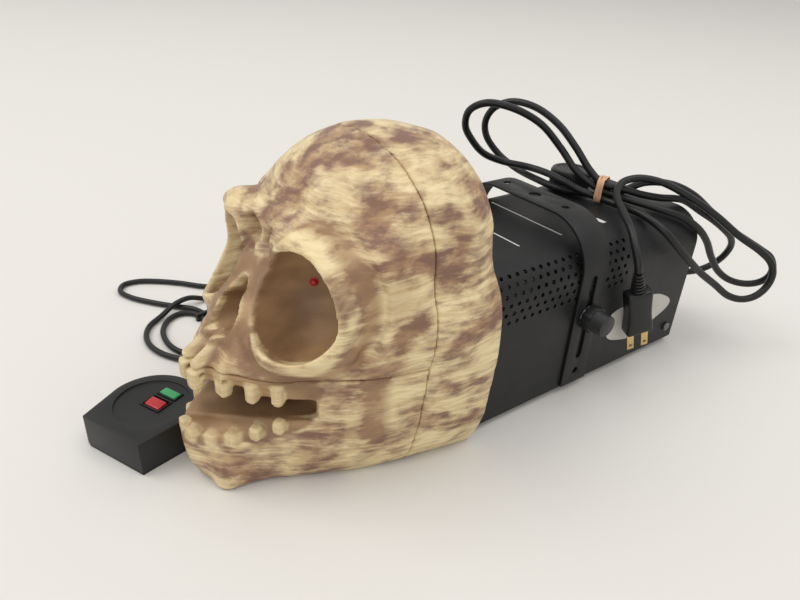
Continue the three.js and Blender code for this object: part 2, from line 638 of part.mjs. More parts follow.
addRemote('remote_gland', cut(union([
  bar('y', [0, remoteRadius - 8, remoteExitZ], 9, 4, 16),
  bar('y', [0, remoteRadius + gap + 0.4, remoteExitZ], 13.3, 5, 16, cableDiameter / 2 + 1),
]), [bar('y', [0, remoteRadius - 20, remoteExitZ], 60, cableDiameter / 2 + gap, 16)]), rubber);

// ---- cords ----
// mains lead: out of the gland, two loops past the rear, two over the far side, then the plug
const mainsRoute = [
  // out of the gland and up over the rear edge
  [40, glandEnd - 22, 50], [40, glandEnd - 8, 50], [40, glandEnd + 4, 50], [42.5, 309, 48.5],
  [48, 322, 49.5], [55, 332, 56], [61.5, 337, 67], [66, 335.5, 80], [67.5, 327, 91],
  [66, 314, 101], [61, 298, 112], [55, 283, 121], [45, 264, 132.5], [36, 240, 136],
  [28, 223, 139.5], [19.5, 210, 143.5], [5, 200, 145.4],
  // first loop, high over the far side
  [-8, 196, 154], [-24, 191, 171], [-42, 185, 187], [-63, 176, 198], [-85, 168, 199],
  [-99, 161, 191], [-106, 159, 178], [-106, 162, 164], [-98, 172, 148], [-80, 179, 138],
  [-52, 181, 134.5], [-28, 183, 133.5], [-14, 190.5, 133.4], [3.4, 203.5, 133.6],
  // long loop behind the case
  [13, 215, 138], [24, 233, 147], [38, 251, 147], [50, 270, 138], [63, 286, 123],
  [79, 303, 107], [89, 312, 100], [98.5, 321.5, 93], [106, 329, 86.5], [109.6, 333, 77], [108.6, 334.6, 66.8],
  [102.6, 332.8, 58.2], [93.2, 328, 53.6], [83, 318, 55.5], [76, 305, 65], [73.5, 288, 83],
  [73.5, 270, 103], [71.2, 254, 117], [62.5, 240, 127],
  [50, 224, 133], [30, 210, 136.5], [5, 200, 139.3],
  // second loop over the far side
  [-14, 187, 152], [-30, 179, 170], [-42, 162, 190], [-56, 138, 203], [-70, 122, 205],
  [-84, 117, 196], [-90, 120, 181], [-88, 128, 168], [-86, 142, 155], [-80, 160, 147],
  [-62, 176, 144.5], [-42, 180, 144], [-22, 181, 142], [-8, 187, 137.5], [6.2, 196.6, 133.6],
  // short loop past the rear corner
  [26, 200, 132.6], [48, 200, 132.6], [70, 203, 125], [82, 220, 106], [88, 245, 85],
  [94, 266, 70], [102, 283, 57], [109.5, 293.5, 54.5], [115.5, 303, 58], [119, 310, 67], [119.5, 312, 79],
  [116, 309, 90], [108, 301.5, 99], [92, 289, 110], [73, 272, 127], [54, 252, 142], [38, 236, 151], [26, 218, 154],
  // down the near side to the plug
  [21.5, 203, 151], [28, 189, 145], [44, 179, 138], [63, 168, 130], [76, 161, 118],
  [81.5, 159.5, 109], [82.5, 160.2, 103.4],
];
add('mains_cord', tube(mainsRoute, mainsDiameter, 110), rubber);
// band round the four strands, on the line that they share there
const bandCentre = [4.7, 200, 140.3];
const roundedBar = (x, length, wide, tall, corner) => {
  const shape = new THREE.Shape();
  shape.moveTo(-tall, wide - corner);
  shape.absarc(-tall + corner, wide - corner, corner, Math.PI, Math.PI / 2, true);
  shape.absarc(tall - corner, wide - corner, corner, Math.PI / 2, 0, true);
  shape.absarc(tall - corner, corner - wide, corner, 0, -Math.PI / 2, true);
  shape.absarc(-tall + corner, corner - wide, corner, -Math.PI / 2, -Math.PI, true);
  const run = new THREE.ExtrudeGeometry(shape, { depth: length, bevelEnabled: false,
    curveSegments: 5 });
  return solid(run.rotateY(Math.PI / 2).translate(x, 0, 0));
};
const bandRing = cut(roundedBar(-2, 4, 9.6, 11.8, 5), [roundedBar(-5, 10, 8.5, 10.8, 4)]);
add('rubber_band', surface(bandRing).rotateZ(Math.atan2(0.353, 0.936))
  .translate(...bandCentre), tanRubber);

// plug, built hanging along -Z from its relief, then leaned and turned
const plug = new THREE.Group();
const plugTop = [82.5, 160.5, 103 - gap];
const plugParts = [];
function addPlug(name, shape, material) {
  const geometry = shape.isBufferGeometry ? shape : surface(shape);
  geometry.rotateZ(-0.42).rotateX(0.33).translate(...plugTop);
  plugParts.push(add(name, geometry, material));
}
addPlug('plug_body', union([
  block([-7, -12, -62], [7, 12, -18]),
  bar('z', [0, 0, -19], 19, 6.5, 14, mainsDiameter / 2 + 1),
]), rubber);
for (const [name, y] of [['plug_blade_front', -6.35], ['plug_blade_rear', 6.35]]) {
  addPlug(name, block([-0.75, y - 3.2, -62 - gap - 17], [0.75, y + 3.2, -62 - gap]), brass);
}

// remote lead: out of the remote, folded on the floor, then along the far side to its socket
const leadZ = cableDiameter / 2 + 0.4;
const liftZ = leadZ + cableDiameter + 0.5;
const remoteExit = [
  remotePlace.x - Math.sin(remoteTurn) * (remoteGlandEnd + gap),
  remotePlace.y + Math.cos(remoteTurn) * (remoteGlandEnd + gap), remoteExitZ];
const coilCentre = [-160, 90];
const coilRadius = 30;
const coilTurns = 3;
const coil = Array.from({ length: coilTurns * 12 + 1 }, (_, i) => {
  const angle = Math.PI - (i / 12) * 2 * Math.PI;
  return [coilCentre[0] + coilRadius * Math.cos(angle),
    coilCentre[1] + coilRadius * Math.sin(angle), leadZ + (i / 12) * (cableDiameter + 0.4)];
});
const cableRoute = [
  // out of the remote and round the outer floor loop
  remoteExit, [-80, -129, 11.5], [-87, -117, 7], [-99, -113, leadZ], [-113, -122, leadZ],
  [-126, -133, leadZ], [-137, -141, leadZ], [-149, -148, leadZ], [-165, -152, leadZ],
  [-182, -150, leadZ], [-197, -142, leadZ], [-207, -128, leadZ + 1], [-214, -113, liftZ],
  [-219, -97, liftZ], [-219, -80, leadZ], [-215, -62, leadZ], [-203, -45, leadZ],
  [-183, -36, leadZ], [-163, -40, leadZ], [-150, -53, leadZ + 3], [-147, -69, liftZ],
  [-155, -84, liftZ], [-170, -95, leadZ + 1], [-189, -98, leadZ + 0.3],
  // inner floor loop, held to the next run by the tie
  [-199, -102, leadZ], [-204, -112, leadZ], [-199, -124, leadZ], [-185, -134, leadZ],
  [-168, -138, leadZ], [-152, -137, leadZ], [-138, -131, leadZ], [-124, -118, leadZ],
  [-116, -100, leadZ], [-116, -82, leadZ], [-126, -69, leadZ], [-139, -70, leadZ],
  [-152, -79, leadZ], [-169, -87, leadZ], [-189, -92, leadZ + 0.3],
  // long loop to the far side
  [-206, -98, leadZ], [-220, -111, leadZ], [-238, -127, leadZ], [-258, -141, leadZ],
  [-275, -146, leadZ], [-287, -139, leadZ], [-287, -125, leadZ], [-278, -109, leadZ],
  [-263, -91, leadZ], [-246, -75, leadZ], [-232, -57, leadZ], [-219, -32, leadZ],
  [-204, 5, leadZ], [-194, 50, leadZ], ...coil,
  [-189, 114, 18], [-185, 140, 12], [-178, 168, 5], [-168, 196, leadZ], [-152, 232, leadZ],
  [-130, 272, leadZ], [-104, 304, leadZ], [-76, 320, 4], [-52, 321, 14], [-39, 311, 28],
  [socketX, 302, 38], [socketX, connectorFace + 25 + gap, socketZ],
];
add('remote_cable', tube(cableRoute, cableDiameter, 170), rubber);
const tieCentre = [-189, -95];
const tieTop = leadZ + 0.3 + cableDiameter / 2;
const tieRing = cut(block([-1.6, -7.3, 0.05], [1.6, 7.3, tieTop + 1.6]),
  [block([-5, -6.2, 0.15], [5, 6.2, tieTop + 0.5])]);
add('cable_tie', surface(tieRing).rotateZ(Math.atan2(0.2, 0.98)).translate(...tieCentre, 0),
  blackPlastic);

// ---- reference point: on the floor, under the middle of everything but the cords ----
const cordNodes = ['mains_cord', 'rubber_band', 'plug_body', 'plug_blade_front',
  'plug_blade_rear', 'remote_cable', 'cable_tie', 'remote_connector'];
const extent = new THREE.Box3();
for (const mesh of machine.children) {
  if (!cordNodes.includes(mesh.name)) extent.expandByObject(mesh);
}
const middle = extent.getCenter(new THREE.Vector3());
machine.position.set(-middle.x, -middle.y, -extent.min.z);
export default machine;
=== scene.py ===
# Fog machine with a moulded skull front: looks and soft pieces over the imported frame.
# Lengths in the sections are millimetres in the case's own frame (x = 0 on the case's
# centre plane, y = 0 on its front, z = 0 on the floor); place() turns them into metres.
import json
import math
import bpy
import bmesh
import numpy as np
from mathutils import Vector, Matrix


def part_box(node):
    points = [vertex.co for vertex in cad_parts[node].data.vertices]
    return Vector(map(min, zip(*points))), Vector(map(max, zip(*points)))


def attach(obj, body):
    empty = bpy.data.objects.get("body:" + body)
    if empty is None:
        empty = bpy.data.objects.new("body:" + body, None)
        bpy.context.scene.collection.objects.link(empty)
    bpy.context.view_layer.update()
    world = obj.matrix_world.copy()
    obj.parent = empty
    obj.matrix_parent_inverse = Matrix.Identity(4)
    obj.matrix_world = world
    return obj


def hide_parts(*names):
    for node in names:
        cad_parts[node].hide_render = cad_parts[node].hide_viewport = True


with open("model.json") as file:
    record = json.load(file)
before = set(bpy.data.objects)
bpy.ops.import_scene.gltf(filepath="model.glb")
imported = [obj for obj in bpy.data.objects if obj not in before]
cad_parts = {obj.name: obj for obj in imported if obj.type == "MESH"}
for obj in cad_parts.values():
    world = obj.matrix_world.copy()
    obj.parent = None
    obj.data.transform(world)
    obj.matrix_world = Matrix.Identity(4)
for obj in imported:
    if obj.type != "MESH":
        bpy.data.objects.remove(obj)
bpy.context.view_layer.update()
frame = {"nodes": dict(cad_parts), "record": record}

# ---- Camera, floor and light ----
# The camera stands ahead of the case's right front corner, a little above the skull.
# Plain pale floor and soft lights, standard view transform.
case_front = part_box("top_cover")[0][1]


def place(x, y, z):
    return (x / 1000, y / 1000 + case_front, z / 1000)


scene = bpy.context.scene
scene.view_settings.view_transform = "Standard"
right = Vector((0.5864, 0.8083, 0.0529)).normalized()
ahead = Vector((-0.6907, 0.5329, -0.4887)).normalized()
right = (right - ahead * right.dot(ahead)).normalized()
up = right.cross(ahead)
camera_data = bpy.data.cameras.new("camera")
camera_data.sensor_width = 36
camera_data.lens = 29.52
camera_data.clip_start = 0.02
camera = bpy.data.objects.new("camera", camera_data)
camera_spot = place(337, -270, 326)
camera.matrix_world = Matrix.Translation(camera_spot) @ Matrix(
    (right, up, -ahead)).transposed().to_4x4()
scene.collection.objects.link(camera)
scene.camera = camera

floor_mesh = bpy.data.meshes.new("floor")
floor_mesh.from_pydata([(-6, -6, 0), (6, -6, 0), (6, 6, 0), (-6, 6, 0)], [], [(0, 1, 2, 3)])
floor = bpy.data.objects.new("floor", floor_mesh)
scene.collection.objects.link(floor)
paper = bpy.data.materials.new("pale_floor")
paper.use_nodes = True
paper_bsdf = paper.node_tree.nodes["Principled BSDF"]
paper_bsdf.inputs["Base Color"].default_value = (0.70, 0.69, 0.665, 1)
paper_bsdf.inputs["Roughness"].default_value = 0.75
paper_bsdf.inputs["Specular IOR Level"].default_value = 0.2
floor_mesh.materials.append(paper)

world = bpy.data.worlds.new("room")
scene.world = world
world.use_nodes = True
world.node_tree.nodes["Background"].inputs["Color"].default_value = (1.0, 0.975, 0.945, 1)
world.node_tree.nodes["Background"].inputs["Strength"].default_value = 0.72
for name, spot, aim, size, energy, colour in (
        ("window", (-1.5, -2.1, 3.7), (0, 0, 0.08), 2.5, 62, (1, 0.98, 0.95)),
        ("ceiling", (1.2, 0.9, 4.2), (0, 0, 0.05), 3.2, 58, (1, 0.99, 0.98)),
        ("front", (2.3, -2.3, 1.3), (0, 0, 0.1), 2.2, 15, (1, 0.98, 0.95))):
    lamp_data = bpy.data.lights.new(name, "AREA")
    lamp_data.size, lamp_data.energy, lamp_data.color = size, energy, colour
    lamp = bpy.data.objects.new(name, lamp_data)
    lamp.location = spot
    lamp.rotation_euler = (Vector(aim) - Vector(spot)).to_track_quat("-Z", "Y").to_euler()
    scene.collection.objects.link(lamp)


# ---- Mains lead ----
# Round mains flex in a glossy black PVC jacket, as supplied: out of the gland, up over the
# rear edge and into a hank held by the rubber band, then down the near side to the plug.
def cord_curve(name, points, diameter):
    """One Bezier spline through the points, with centripetal tangents."""
    knots = [Vector(place(*p)) for p in points]
    padded = [knots[0] * 2 - knots[1]] + knots + [knots[-1] * 2 - knots[-2]]
    curve = bpy.data.curves.new(name, "CURVE")
    curve.dimensions = "3D"
    curve.bevel_depth = 1
    curve.bevel_resolution = 4
    curve.use_fill_caps = True
    curve.resolution_u = 10
    spline = curve.splines.new("BEZIER")
    spline.bezier_points.add(len(knots) - 1)
    for i, bezier in enumerate(spline.bezier_points):
        before, here, after = padded[i:i + 3]
        d1 = max((here - before).length, 1e-9) ** 0.5
        d2 = max((after - here).length, 1e-9) ** 0.5
        tangent = (here - before) / d1 - (after - before) / (d1 + d2) + (after - here) / d2
        bezier.co = here
        bezier.radius = diameter / 2000
        bezier.handle_left_type = bezier.handle_right_type = "FREE"
        bezier.handle_left = here - tangent * d1 / 3
        bezier.handle_right = here + tangent * d2 / 3
    obj = bpy.data.objects.new(name, curve)
    scene.collection.objects.link(obj)
    return obj


gland_end, socket_y = 291.0, 289.3
mains_route = [
    # out of the gland and up over the rear edge
    (40, gland_end - 22, 50), (40, gland_end - 8, 50), (40, gland_end + 4, 50), (42.5, 309, 48.5),
    (48, 322, 49.5), (55, 332, 56), (61.5, 337, 67), (66, 335.5, 80), (67.5, 327, 91),
    (66, 314, 101), (61, 298, 112), (55, 283, 121), (45, 264, 132.5), (36, 240, 136),
    (28, 223, 139.5), (19.5, 210, 143.5), (5, 200, 145.4),
    # first loop, high over the far side
    (-8, 196, 154), (-24, 191, 171), (-42, 185, 187), (-63, 176, 198), (-85, 168, 199),
    (-99, 161, 191), (-106, 159, 178), (-106, 162, 164), (-98, 172, 148), (-80, 179, 138),
    (-52, 181, 134.5), (-28, 183, 133.5), (-14, 190.5, 133.4), (3.4, 203.5, 133.6),
    # long loop behind the case
    (13, 215, 138), (24, 233, 147), (38, 251, 147), (50, 270, 138), (63, 286, 123),
    (79, 303, 107), (89, 312, 100), (98.5, 321.5, 93), (106, 329, 86.5),
    (109.6, 333, 77), (108.6, 334.6, 66.8),
    (102.6, 332.8, 58.2), (93.2, 328, 53.6), (83, 318, 55.5), (76, 305, 65), (73.5, 288, 83),
    (73.5, 270, 103), (71.2, 254, 117), (62.5, 240, 127),
    (50, 224, 133), (30, 210, 136.5), (5, 200, 139.3),
    # second loop over the far side
    (-14, 187, 152), (-30, 179, 170), (-42, 162, 190), (-56, 138, 203), (-70, 122, 205),
    (-84, 117, 196), (-90, 120, 181), (-88, 128, 168), (-86, 142, 155), (-80, 160, 147),
    (-62, 176, 144.5), (-42, 180, 144), (-22, 181, 142), (-8, 187, 137.5), (6.2, 196.6, 133.6),
    # short loop past the rear corner
    (26, 200, 132.6), (48, 200, 132.6), (70, 203, 125), (82, 220, 106), (88, 245, 85),
    (94, 266, 70), (102, 283, 57), (109.5, 293.5, 54.5), (115.5, 303, 58),
    (119, 310, 67), (119.5, 312, 79),
    (116, 309, 90), (108, 301.5, 99), (92, 289, 110), (73, 272, 127), (54, 252, 142),
    (38, 236, 151), (26, 218, 154),
    # down the near side to the plug
    (21.5, 203, 151), (28, 189, 145), (44, 179, 138), (63, 168, 130), (76, 161, 118),
    (81.5, 159.5, 109), (82.5, 160.2, 103.4),
]
mains_diameter, cable_diameter = 6.3, 5.0
mains = cord_curve("mains_lead", mains_route, mains_diameter)
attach(mains, "machine")
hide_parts("mains_cord")

# ---- Remote lead ----
# Thin two-core flex in a black PVC jacket: from the wired remote round two floor loops,
# past a tie, into a long loop and a coil, then up to the socket in the rear panel.
coil = [(-160 + 30 * math.cos(math.pi - i * math.pi / 6),
         90 + 30 * math.sin(math.pi - i * math.pi / 6), 2.9 + i / 12 * 5.4) for i in range(37)]
remote_turn = math.atan2(0.41, 0.912)
remote_exit = (-56 - math.sin(remote_turn) * 47.3, -182.6 + math.cos(remote_turn) * 47.3, 13)
cable_route = [
    # out of the remote and round the outer floor loop
    remote_exit, (-80, -129, 11.5), (-87, -117, 7), (-99, -113, 2.9), (-113, -122, 2.9),
    (-126, -133, 2.9), (-137, -141, 2.9), (-149, -148, 2.9), (-165, -152, 2.9),
    (-182, -150, 2.9), (-197, -142, 2.9), (-207, -128, 2.9 + 1), (-214, -113, 8.4),
    (-219, -97, 8.4), (-219, -80, 2.9), (-215, -62, 2.9), (-203, -45, 2.9),
    (-183, -36, 2.9), (-163, -40, 2.9), (-150, -53, 2.9 + 3), (-147, -69, 8.4),
    (-155, -84, 8.4), (-170, -95, 2.9 + 1), (-189, -98, 2.9 + 0.3),
    # inner floor loop, held to the next run by the tie
    (-199, -102, 2.9), (-204, -112, 2.9), (-199, -124, 2.9), (-185, -134, 2.9),
    (-168, -138, 2.9), (-152, -137, 2.9), (-138, -131, 2.9), (-124, -118, 2.9),
    (-116, -100, 2.9), (-116, -82, 2.9), (-126, -69, 2.9), (-139, -70, 2.9),
    (-152, -79, 2.9), (-169, -87, 2.9), (-189, -92, 2.9 + 0.3),
    # long loop to the far side
    (-206, -98, 2.9), (-220, -111, 2.9), (-238, -127, 2.9), (-258, -141, 2.9),
    (-275, -146, 2.9), (-287, -139, 2.9), (-287, -125, 2.9), (-278, -109, 2.9),
    (-263, -91, 2.9), (-246, -75, 2.9), (-232, -57, 2.9), (-219, -32, 2.9),
    (-204, 5, 2.9), (-194, 50, 2.9), *coil,
    (-189, 114, 18), (-185, 140, 12), (-178, 168, 5), (-168, 196, 2.9), (-152, 232, 2.9),
    (-130, 272, 2.9), (-104, 304, 2.9), (-76, 320, 4), (-52, 321, 14), (-39, 311, 28),
    (-36, 302, 38), (-36, socket_y, 40),
]
remote_lead = cord_curve("remote_lead", cable_route, cable_diameter)
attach(remote_lead, "machine")
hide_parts("remote_cable")

# ---- Skull: cranium and face, jaw, rear rim ----
# A hollow ornament skull cast in resin in three shells, screwed together over the front of
# the case: face, jaw and a rear rim, with open sockets, nose and mouth. Its walls are
# meshed from a field of distances: outlines stacked by height, less the hollows.
outline_levels = np.array([
    # height, front, half width, middle, squareness, rear reach
    (-20, -160, 70, 6, 1.5, 58), (0, -168, 73, 6, 1.5, 60), (10, -176, 79, 6, 1.5, 60),
    (30, -180, 85, 4, 1.5, 60), (60, -176, 89, 0, 1.6, 70), (90, -165, 91, -4, 1.75, 75),
    (110, -146, 91, -8, 2.4, 78), (128, -134, 88, -14, 3.2, 80), (142, -127, 84, -26, 4, 74),
    (160, -121, 82, -32, 4, 77), (178, -119, 79, -32, 3.2, 76), (190, -111, 71, -32, 2.6, 70),
    (230, -90, 50, -32, 2.2, 60)], dtype=np.float32)
cell = 1.5
low_corner = np.array((-96.0, -190.0, -4.0), dtype=np.float32)
grid_size = (np.array((192.0, 200.0, 228.0)) / cell).astype(int) + 1
gx = (low_corner[0] + cell * np.arange(grid_size[0], dtype=np.float32))[:, None, None]
gy = (low_corner[1] + cell * np.arange(grid_size[1], dtype=np.float32))[None, :, None]
gz = (low_corner[2] + cell * np.arange(grid_size[2], dtype=np.float32))[None, None, :]
side = np.abs(gx)


def smooth_min(a, b, k):
    h = np.clip(0.5 + 0.5 * (b - a) / k, 0, 1)
    return b + (a - b) * h - k * h * (1 - h)


def smooth_max(a, b, k):
    return -smooth_min(-a, -b, k)


def rise(v, start, width):
    """0 up to the start, 1 from a width past it, and even between."""
    return np.clip((v - start) / width, 0, 1)


def fall(v, start, width):
    return np.clip((start - v) / width, 0, 1)


def egg(x, y, z, centre, radii):
    """Distance to an ellipsoid, good near its surface."""
    px, py, pz = x - centre[0], y - centre[1], z - centre[2]
    near = np.sqrt((px / radii[0]) ** 2 + (py / radii[1]) ** 2 + (pz / radii[2]) ** 2) + 1e-6
    slope = np.sqrt((px / radii[0] ** 2) ** 2 + (py / radii[1] ** 2) ** 2
                    + (pz / radii[2] ** 2) ** 2) + 1e-6
    return near * (near - 1) / slope


def capsule(x, y, z, start, end, radius, end_radius=None):
    start, end = np.array(start, np.float32), np.array(end, np.float32)
    run = end - start
    share = np.clip(((x - start[0]) * run[0] + (y - start[1]) * run[1]
                     + (z - start[2]) * run[2]) / float(run @ run), 0, 1)
    away = np.sqrt((x - start[0] - share * run[0]) ** 2 + (y - start[1] - share * run[1]) ** 2
                   + (z - start[2] - share * run[2]) ** 2)
    return away - (radius + share * ((end_radius or radius) - radius))


def block(x, y, z, centre, facing, half_sizes, corner):
    """Distance to a rounded block turned about the vertical to face a direction."""
    across = (x - centre[0]) * -facing[1] + (y - centre[1]) * facing[0]
    out = (x - centre[0]) * facing[0] + (y - centre[1]) * facing[1]
    q = [np.abs(v) - (h - corner) for v, h in zip((across, out, z - centre[2]), half_sizes)]
    outside = np.sqrt(sum(np.maximum(v, 0) ** 2 for v in q))
    return outside + np.minimum(np.maximum(np.maximum(q[0], q[1]), q[2]), 0) - corner


def blended(column, z):
    """Smooth interpolation of one outline measure over height."""
    heights, values = outline_levels[:, 0], outline_levels[:, column]
    slopes = np.gradient(values, heights)
    i = np.clip(np.searchsorted(heights, z) - 1, 0, len(heights) - 2)
    step = heights[i + 1] - heights[i]
    t = (z - heights[i]) / step
    return ((2 * t**3 - 3 * t**2 + 1) * values[i] + (t**3 - 2 * t**2 + t) * step * slopes[i]
            + (3 * t**2 - 2 * t**3) * values[i + 1] + (t**3 - t**2) * step * slopes[i + 1])


level = {c: blended(c, gz[0, 0])[None, None, :] for c in range(1, 6)}
ahead_of_middle = gy < level[3]
reach = np.where(ahead_of_middle, level[3] - level[1], level[5])
power = np.where(ahead_of_middle, level[4], 2.0)
u = side / level[2]
v = np.abs(gy - level[3]) / reach
ratio = (u ** power + v ** power + 1e-9) ** (1 / power)
slope = np.sqrt((u ** (power - 1) / level[2]) ** 2 + (v ** (power - 1) / reach) ** 2
                + 1e-12) * ratio ** (1 - power)
tower = (ratio - 1) / np.maximum(slope, 1 / 120)
dome = egg(gx, gy, gz, (0, -32, 163), (80.5, 78, 57))
dome_share = rise(gz, 160, 28)
toward_dome = dome_share ** 2 * (3 - 2 * dome_share)
head = tower * (1 - toward_dome) + dome * toward_dome


def evened(field):
    """The field divided by its slope where that is steep, so that offsets keep their size."""
    steepness = np.sqrt(sum(g ** 2 for g in np.gradient(field, cell)))
    return field / np.clip(steepness, 0.85, 3)


socket = egg(side, gy, gz, (45.5, -118, 136.5), (30, 36, 34))
nose = smooth_min(egg(side, gy, gz, (5.5, -143, 116), (7.5, 22, 12)),
                  egg(gx, gy, gz, (0, -139, 130), (7, 17, 11)), 4)

# outer surface: brows, nose ridge, cheeks, tooth roots, jaw
skin = head
skin = smooth_min(skin, capsule(side, gy, gz, (18, -114, 168), (60, -102, 170), 7, 6), 12)
bridge_front = np.interp(gz, (110, 128, 137, 141, 150, 162, 167, 174, 182),
                         (-230, -158, -148, -142, -130, -118, -118, -128, -200))
bridge = (bridge_front + 0.7 * np.minimum(side, 16) - 4 * np.maximum(side - 16, 0)
          - gy).astype(np.float32)
skin = smooth_max(skin, bridge, 4)
skin = smooth_min(skin, capsule(side, gy, gz, (12, -132, 122), (20, -142, 92), 5, 8), 8)
skin = smooth_min(skin, capsule(side, gy, gz, (42, -126, 98), (74, -100, 112), 10, 9), 9)
chin = block(gx, gy, gz, (0, -150, 8), (0, -1), (29, 19, 15), 11)
skin = smooth_min(skin, chin, 9)
for start, end, depth in (((34, -160, 96), (52, -140, 62), 9), ((62, -124, 88), (78, -92, 78), 8)):
    hollow_cheek = capsule(side, gy, gz, start, end, depth)
    skin = smooth_max(skin, -(hollow_cheek + 4.5), 9)
temple_dip = egg(side, gy, gz, (97, -74, 142), (15, 15, 34))
skin = smooth_max(skin, -(temple_dip + 1), 10)
unevenness = (np.sin(gx / 13 + 1.3 * np.sin(gz / 17)) * np.sin(gy / 15 + np.sin(gz / 11))
              * np.sin(gz / 14 + 1) * 0.9 + np.sin(gx / 6.1 + gy / 8.3) * np.sin(gz / 7.2) * 0.25)
skin = smooth_max(skin + unevenness, 0.3 - gz, 3)

# teeth: centre of each crown, its half width, and the top of the crown or its root
upper_teeth = np.full(head.shape, 50.0, np.float32)
lower_teeth = upper_teeth.copy()
roots = upper_teeth.copy()


def nearby(x, reach_mm):
    low = max(0, int((x - reach_mm - low_corner[0]) / cell))
    return (slice(low, int((x + reach_mm - low_corner[0]) / cell)),)


for x, y, z, half, set_back in ((7, -168.5, 82.5, 4.9, 17), (20, -156, 80.5, 4.8, 10.5),
                                (33, -143.5, 78.5, 3.9, 7), (44.5, -132, 79, 3.7, 6)):
    outward = Vector((x * 0.75 + 2, y * 0.45, 0)).normalized()
    for sign in (-1, 1):
        part = nearby(sign * x, 18)
        near_x = gx[part]
        facing = (sign * outward.x, outward.y)
        crown = block(near_x, gy, gz, (sign * (x + outward.x), y + outward.y, z), facing,
                      (half, 4.2, 7.6), 2.2)
        upper_teeth[part] = np.minimum(upper_teeth[part], crown)
        root = capsule(near_x, gy, gz, (sign * (x - 0.5 * outward.x), y - 0.5 * outward.y, z + 9),
                       (sign * x * 0.92, y + set_back, z + 23), half * 0.8, 2.4)
        roots[part] = np.minimum(roots[part], root)
for x, y, z, half in ((6, -175, 40, 4.4), (17, -166.5, 39.5, 4.6), (28.5, -157, 44, 4.8),
                      (39, -146, 51.5, 4.0), (48, -134.5, 57.5, 3.8)):
    outward = Vector((x * 0.75 + 1, y * 0.42, 0)).normalized()
    for sign in (-1, 1):
        part = nearby(sign * x, 14)
        crown = block(gx[part], gy, gz, (sign * x, y, z), (sign * outward.x, outward.y),
                      (half, 4, 5), 2.2)
        lower_teeth[part] = np.minimum(lower_teeth[part], crown)
arch_front, arch_width, arch_power = -176.0, 89.0, 1.6
skin = smooth_min(skin, roots, 4.5)
lower_gum = capsule(side, gy, gz, (0, -182, 45), (58, -129, 64), 10)
upper_gum = capsule(side, gy, gz, (0, -178, 79), (62, -124, 79), 9)
gum_band = np.minimum(lower_gum, upper_gum)
skin = smooth_max(skin, -(lower_gum + 3.5), 2.5)
skin = smooth_max(skin, -(upper_gum + 4.2), 2.5)

# dip outside each rim, then a raised lip where each socket meets the face, thickest
# below and at the brow
trough = (np.sqrt(skin ** 2 + (socket - 13) ** 2)
          - 6 * rise(side, 34, 20) * rise(gz, 96, 14))
skin = smooth_max(skin, -trough, 5)
lip_size = (4.6 + 1.6 * fall(gz, 116, 20) + 3.4 * rise(gz, 154, 12)
            * fall(side, 60, 24))
lip_size = lip_size * np.clip((side - 24) / 12, 0.1, 1)
lip = np.sqrt((skin + 0.8) ** 2 + (socket - 1.4) ** 2) - lip_size
skin = smooth_min(skin, lip, 3.5)
nose_lip = np.sqrt(skin ** 2 + nose ** 2) - 2.0
skin = smooth_min(skin, nose_lip, 2.5)

# mouth: an arch-shaped chamber open at the lips, wider at its corners
mouth_u = side / (arch_width - 9)
mouth_v = np.abs(gy) / (-arch_front - 9)
mouth_ratio = (mouth_u ** arch_power + mouth_v ** arch_power + 1e-9) ** (1 / arch_power)
mouth_side = (mouth_ratio - 1) * 95
rising = rise(gy, -178, 50)
mouth_floor, mouth_roof = 53 + 5 * rising, 81.0
chamber = smooth_max(smooth_max(mouth_side, gy + 104, 4),
                     smooth_max(mouth_floor - gz, gz - mouth_roof, 4), 5)
lips = smooth_max(smooth_max(54 + 5.6 * rising - gz, gz - 75, 3), gy + 112, 5)
lips = smooth_max(lips, side - 62, 9)

inner = smooth_max(evened(skin) + 4, evened(head) + 3.8, 2)
solid_walls = smooth_max(skin, -inner, 1.5)
for hollow, wall in ((socket, 3.4), (nose, 3.2), (chamber, 3.2)):
    solid_walls = smooth_min(solid_walls, np.maximum(hollow - wall, skin), 2)
body = solid_walls
for hollow, blend in ((socket, 2.2), (nose, 1.6), (chamber, 2), (lips, 3)):
    body = smooth_max(body, -hollow, blend)
body = smooth_min(body, smooth_max(lower_teeth, -(skin + 5), 1), 0.6)
body = smooth_min(body, np.maximum(upper_teeth, gz - 88), 0.6)
duct = np.sqrt(gx ** 2 + (gz - 66) ** 2) - 13.3
body = np.maximum(body, -np.maximum(duct, np.abs(gy + 104) - 9))
# shallow scored lines of the moulding's joints
crease = np.sqrt((gz - 85 - 0.11 * np.clip(gy + 150, 0, 80)) ** 2 + (skin * 0.7) ** 2) - 1.1
body = smooth_max(body, -np.where(gy < -60, crease, 9), 0.8)
body = body.astype(np.float32)

# shading measures kept with each point: how brown (the glaze in the bowls, mouth and gums, a
# browner middle of the face, and painted shade in the temple hollows), raised (lips, teeth)
glaze_and_shade = np.clip(1 - np.minimum(np.minimum(socket, nose), chamber) / 2.5, 0, 1)
glaze_and_shade = glaze_and_shade * np.clip((-skin - 1.0) / 3.5, 0, 1)
# browner over the middle of the face, from below the sockets down to the teeth, and beside the nose
mid_face_brown = (fall(gz, 142, 20) * rise(gz, 58, 12)
              * fall(side, 50, 12) * fall(gy, -112, 10))
gum_glaze = np.clip(1.6 - np.maximum(gum_band, 0) / 3, 0, 1) * fall(gy, -100, 12)
beside_nose = (fall(side, 28, 8) * fall(gz, 156, 10)
               * rise(gz, 98, 8) * fall(gy, -112, 8))
round_lip = np.clip(1.3 - np.abs(lip - 4.5) / 4.5, 0, 1) * rise(side, 26, 10)
glaze_and_shade = np.maximum(glaze_and_shade, np.maximum(0.45 * mid_face_brown, gum_glaze))
glaze_and_shade = np.maximum(glaze_and_shade, np.maximum(0.8 * beside_nose, 0.75 * round_lip))
